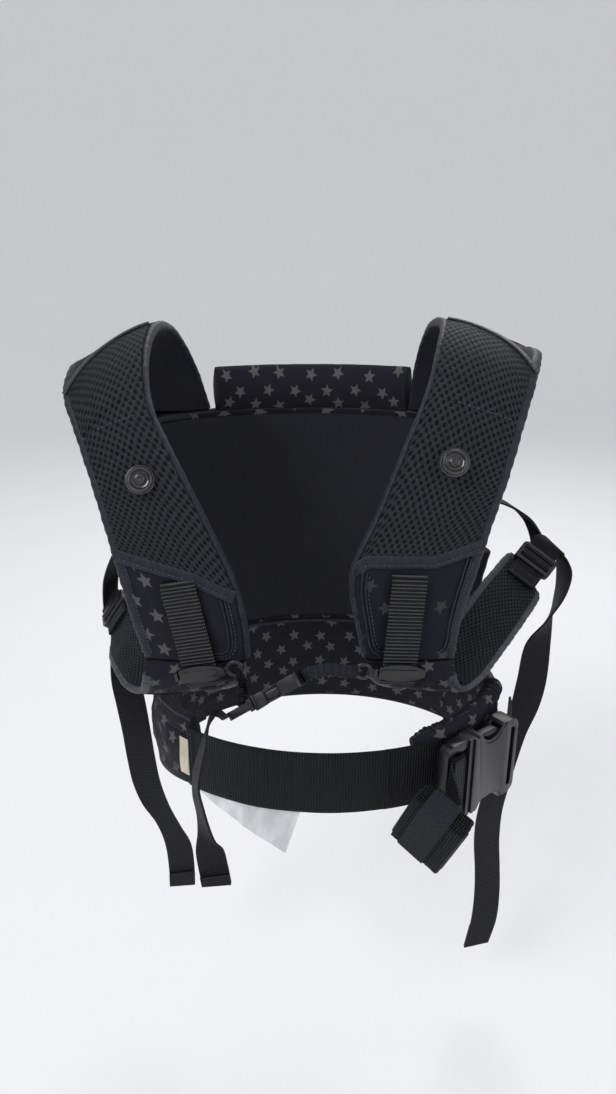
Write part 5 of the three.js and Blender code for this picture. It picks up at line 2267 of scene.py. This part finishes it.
# ---- the object's own design values --------------------------------------------------------------
def make_straps() -> list:
    """The two shoulder straps with their stations.

    Returns:
        The left strap and the right one.
    """
    left = Strap(
        Side.LEFT,
        neck=[(-90, 95, -57), (-98, 80, -18), (-108, 44, 15), (-114, 0, 21), (-114, -42, 3), (-107, -72, -28),
              (-90, -88, -62), (-68, -96, -108), (-51, -99, -150), (-45, -99, -180), (-44, -97, -207)],
        arm=[(-138, 64, -57), (-154, 58, -36), (-169, 32, -17), (-174, -6, -9), (-170, -48, -24),
             (-158, -70, -48),
             (-147, -82, -80), (-138, -88, -115), (-131, -89, -150), (-125, -88, -182), (-119, -84, -212)],
        upper=[(-50, -92, -226), (-66, -80, -239), (-88, -62, -234), (-112, -40, -217), (-133, -12, -210),
               (-147, 22, -212)],
        lower=[(-121, -82, -232), (-127, -70, -249), (-138, -54, -254), (-150, -36, -248), (-158, -16, -246),
               (-160, 2, -240)],
        seam_top=(0.41, 0.31), hem=([0, 0.68, 1], [0.74, 0.785, 0.826]), stars_share=(12.0, 5.0))
    right = Strap(
        Side.RIGHT,
        neck=[(92, 95, -57), (94, 80, -14), (97, 44, 18), (100, 0, 24), (92, -38, 10), (82, -64, -18),
              (66, -84, -54), (48, -94, -99), (31, -98, -142), (36, -98, -180), (42, -97, -206)],
        arm=[(140, 64, -57), (152, 58, -30), (165, 32, -8), (170, -6, 1), (158, -48, -11), (146, -71, -38),
             (136, -82, -74), (126, -87, -108), (117, -88, -146), (109, -88, -180), (107, -84, -212)],
        upper=[(48, -93, -224), (62, -82, -236), (84, -64, -229), (108, -44, -208), (135, -18, -186),
               (166, 16, -168)],
        lower=[(109, -82, -232), (116, -72, -246), (129, -60, -243), (147, -46, -227), (165, -32, -210),
               (184, -12, -195)],
        seam_top=(0.31, 0.40), hem=([0, 0.08, 0.62, 1], [0.795, 0.775, 0.772, 0.737]),
                  stars_share=(3.0, 16.0))
    return [left, right]


def make_side_straps() -> list:
    """Adjusters with their webbing and spare ends.

    Returns:
        The left side and the right one.
    """
    left = SideStrap(
        Side.LEFT, Place((-153.5, 12, -226), (-0.28663, 0.95543, 0.07062), (0.55432, 0.10527, 0.82562)),
        webbing=[(-170, 42, -192, 0.45, 0.85, 0.3), (-160, 49, -170, 0.45, 0.85, 0.1),
                 (-148, 55, -150, 0.4, 0.9, 0), (-139, 57, -138, 0.35, 0.93, 0)],
        tail=[(-168, 47, -228, 0.5, 0.5, 0.6), (-167, 42, -243, 0.4, 0.85, 0.2),
              (-164, 29, -262, 0.6, 0.8, 0),
              (-159, 13, -282, 0.9, 0.4, 0), (-155, 8, -306, 1, 0.2, 0), (-152, 6, -332, 1, 0, 0),
              (-150, 6, -358, 1, 0, 0), (-147, 7, -386, 1, 0, 0), (-141, 11, -414, 1, 0.1, -0.2),
              (-132, 18, -442, 0.9, 0.2, -0.4), (-126, 26, -470, 1, 0.2, -0.2), (-125, 32, -500, 1, 0.2, 0),
              (-126, 35, -528, 1, 0.1, 0)],
        lift_webbing=(-3.4, -4), lift_tail=(1, 4), body="left_strap_adjuster")
    right = SideStrap(
        Side.RIGHT, Place((175, 2, -181.5), (0.61947, 0.67229, 0.40532), (0.76499, -0.40108, -0.50392)),
        webbing=[(190, 30, -152, 0.55, -0.75, -0.4), (181, 43, -139, 0.45, -0.85, -0.2),
                 (164, 53, -131, 0.4, -0.9, -0.1), (147, 57, -128, 0.4, -0.9, 0)],
        tail=[(203, 12, -160, 0.6, -0.7, -0.5), (208, 5, -171, 0.3, -0.9, -0.3), (206, -1, -190, 0, -1, -0.1),
              (199, -3, -212, -0.4, -0.9, 0), (193, 0, -238, -0.9, -0.4, 0), (191, 0, -276, -1, 0, 0),
              (187, 0, -304, -1, 0, -0.1), (179, 0, -332, -1, 0, -0.25), (174, 2, -362, -1, 0, -0.3),
              (170, 4, -392, -1, -0.1, -0.3), (167, 6, -420, -1, -0.2, -0.2), (168, 10, -452, -1, -0.2, 0),
              (172, 14, -486, -1, -0.2, 0), (175, 17, -520, -1, -0.1, 0), (175, 19, -556, -1, 0, -0.1),
              (170, 20, -590, -1, 0, -0.3)],
        lift_webbing=(1, 3), lift_tail=(-3.4, -6), body="right_strap_adjuster")
    return [left, right]


def main() -> None:
    """Build every sub-assembly in order and report each."""
    logging.basicConfig(level=logging.INFO, format="%(name)s: %(message)s")
    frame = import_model()
    studio = Studio()
    studio.build_camera()
    sides = make_side_straps()
    chest = ChestStrap(tail=[
        (-56, -124, -236, -0.12, -0.9, 0.42), (-58, -134, -227, -0.12, -0.9, 0.42),
        (-61, -145, -219, -0.1, -0.95, 0.3), (-65, -152, -220, 0, -1, 0.1), (-67, -156, -230, 0.1, -1, 0),
        (-71, -160, -244, 0.2, -1, 0), (-74, -164, -258, 0.3, -1, 0), (-73, -167, -272, 0.45, -0.9, 0.05),
        (-70, -169, -287, 0.5, -0.86, 0.1), (-68, -170, -299, 0.65, -0.72, 0.15),
        (-66, -171, -309, 0.97, -0.25, 0.2), (-64, -171.5, -322, 1, 0, 0.15), (-62, -172, -336, 1, 0, 0.1)])
    chest.build_tail()
    for side in sides:
        side.build_tail()
    LOG.info("spare ends laid")
    straps = make_straps()
    for strap in straps:
        strap.build_pads()
        strap.build_faces()
        strap.build_edges()
        LOG.info("%s shoulder strap sewn", strap.side.value)
    Stud(Side.LEFT, (-111, -91.5, -74), (0.05, -0.93, 0.36)).build()
    Stud(Side.RIGHT, (96, -93, -62), (-0.1, -0.9, 0.42)).build()
    Rail(Side.LEFT, Place((-74, -93.5, -226), (0.98, -0.1, 0.19), (-0.19, 0, 0.982)), 82,
         "chest_strap").build()
    Rail(Side.RIGHT, Place((63.5, -94, -225), (0.99, 0.09, -0.07), (0.07, 0, 0.998)), 84,
         "chest_strap_right_end").build()
    LOG.info("studs, rails and sliders fitted")
    panel = FrontPanel()
    panel.build()
    panel.cover(straps[0], (0.012, 0.196))
    panel.cover(straps[1], (0.773, 0.988))
    Waistband().build()
    LOG.info("front panel and waistband padded")
    waist = Buckle("waist", Place((117, -103, -296), (0.78, 0.626, 0), (0, 0, 1)), ROOT, "waist_tongue",
                   50, 66, 14, 50, 26, 2.6, 34, 6, 9, 0.9)
    small = Buckle("chest", Place((-35, -118, -226), (0.86, 0.05, 0.51), (-0.12, -0.9, 0.42)), "chest_strap",
                   "chest_tongue", 20, 28, 10, 36, 20, 1.8, 24, 3.4, 4, 0.55)
    waist.build()
    small.build()
    Belt().build(waist)
    LOG.info("belt and buckles fitted")
    chest.build()
    for side in sides:
        side.build()
    LOG.info("chest strap and side webbing fitted")
    studio.build()
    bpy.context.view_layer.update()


if __name__ == "__main__":
    main()
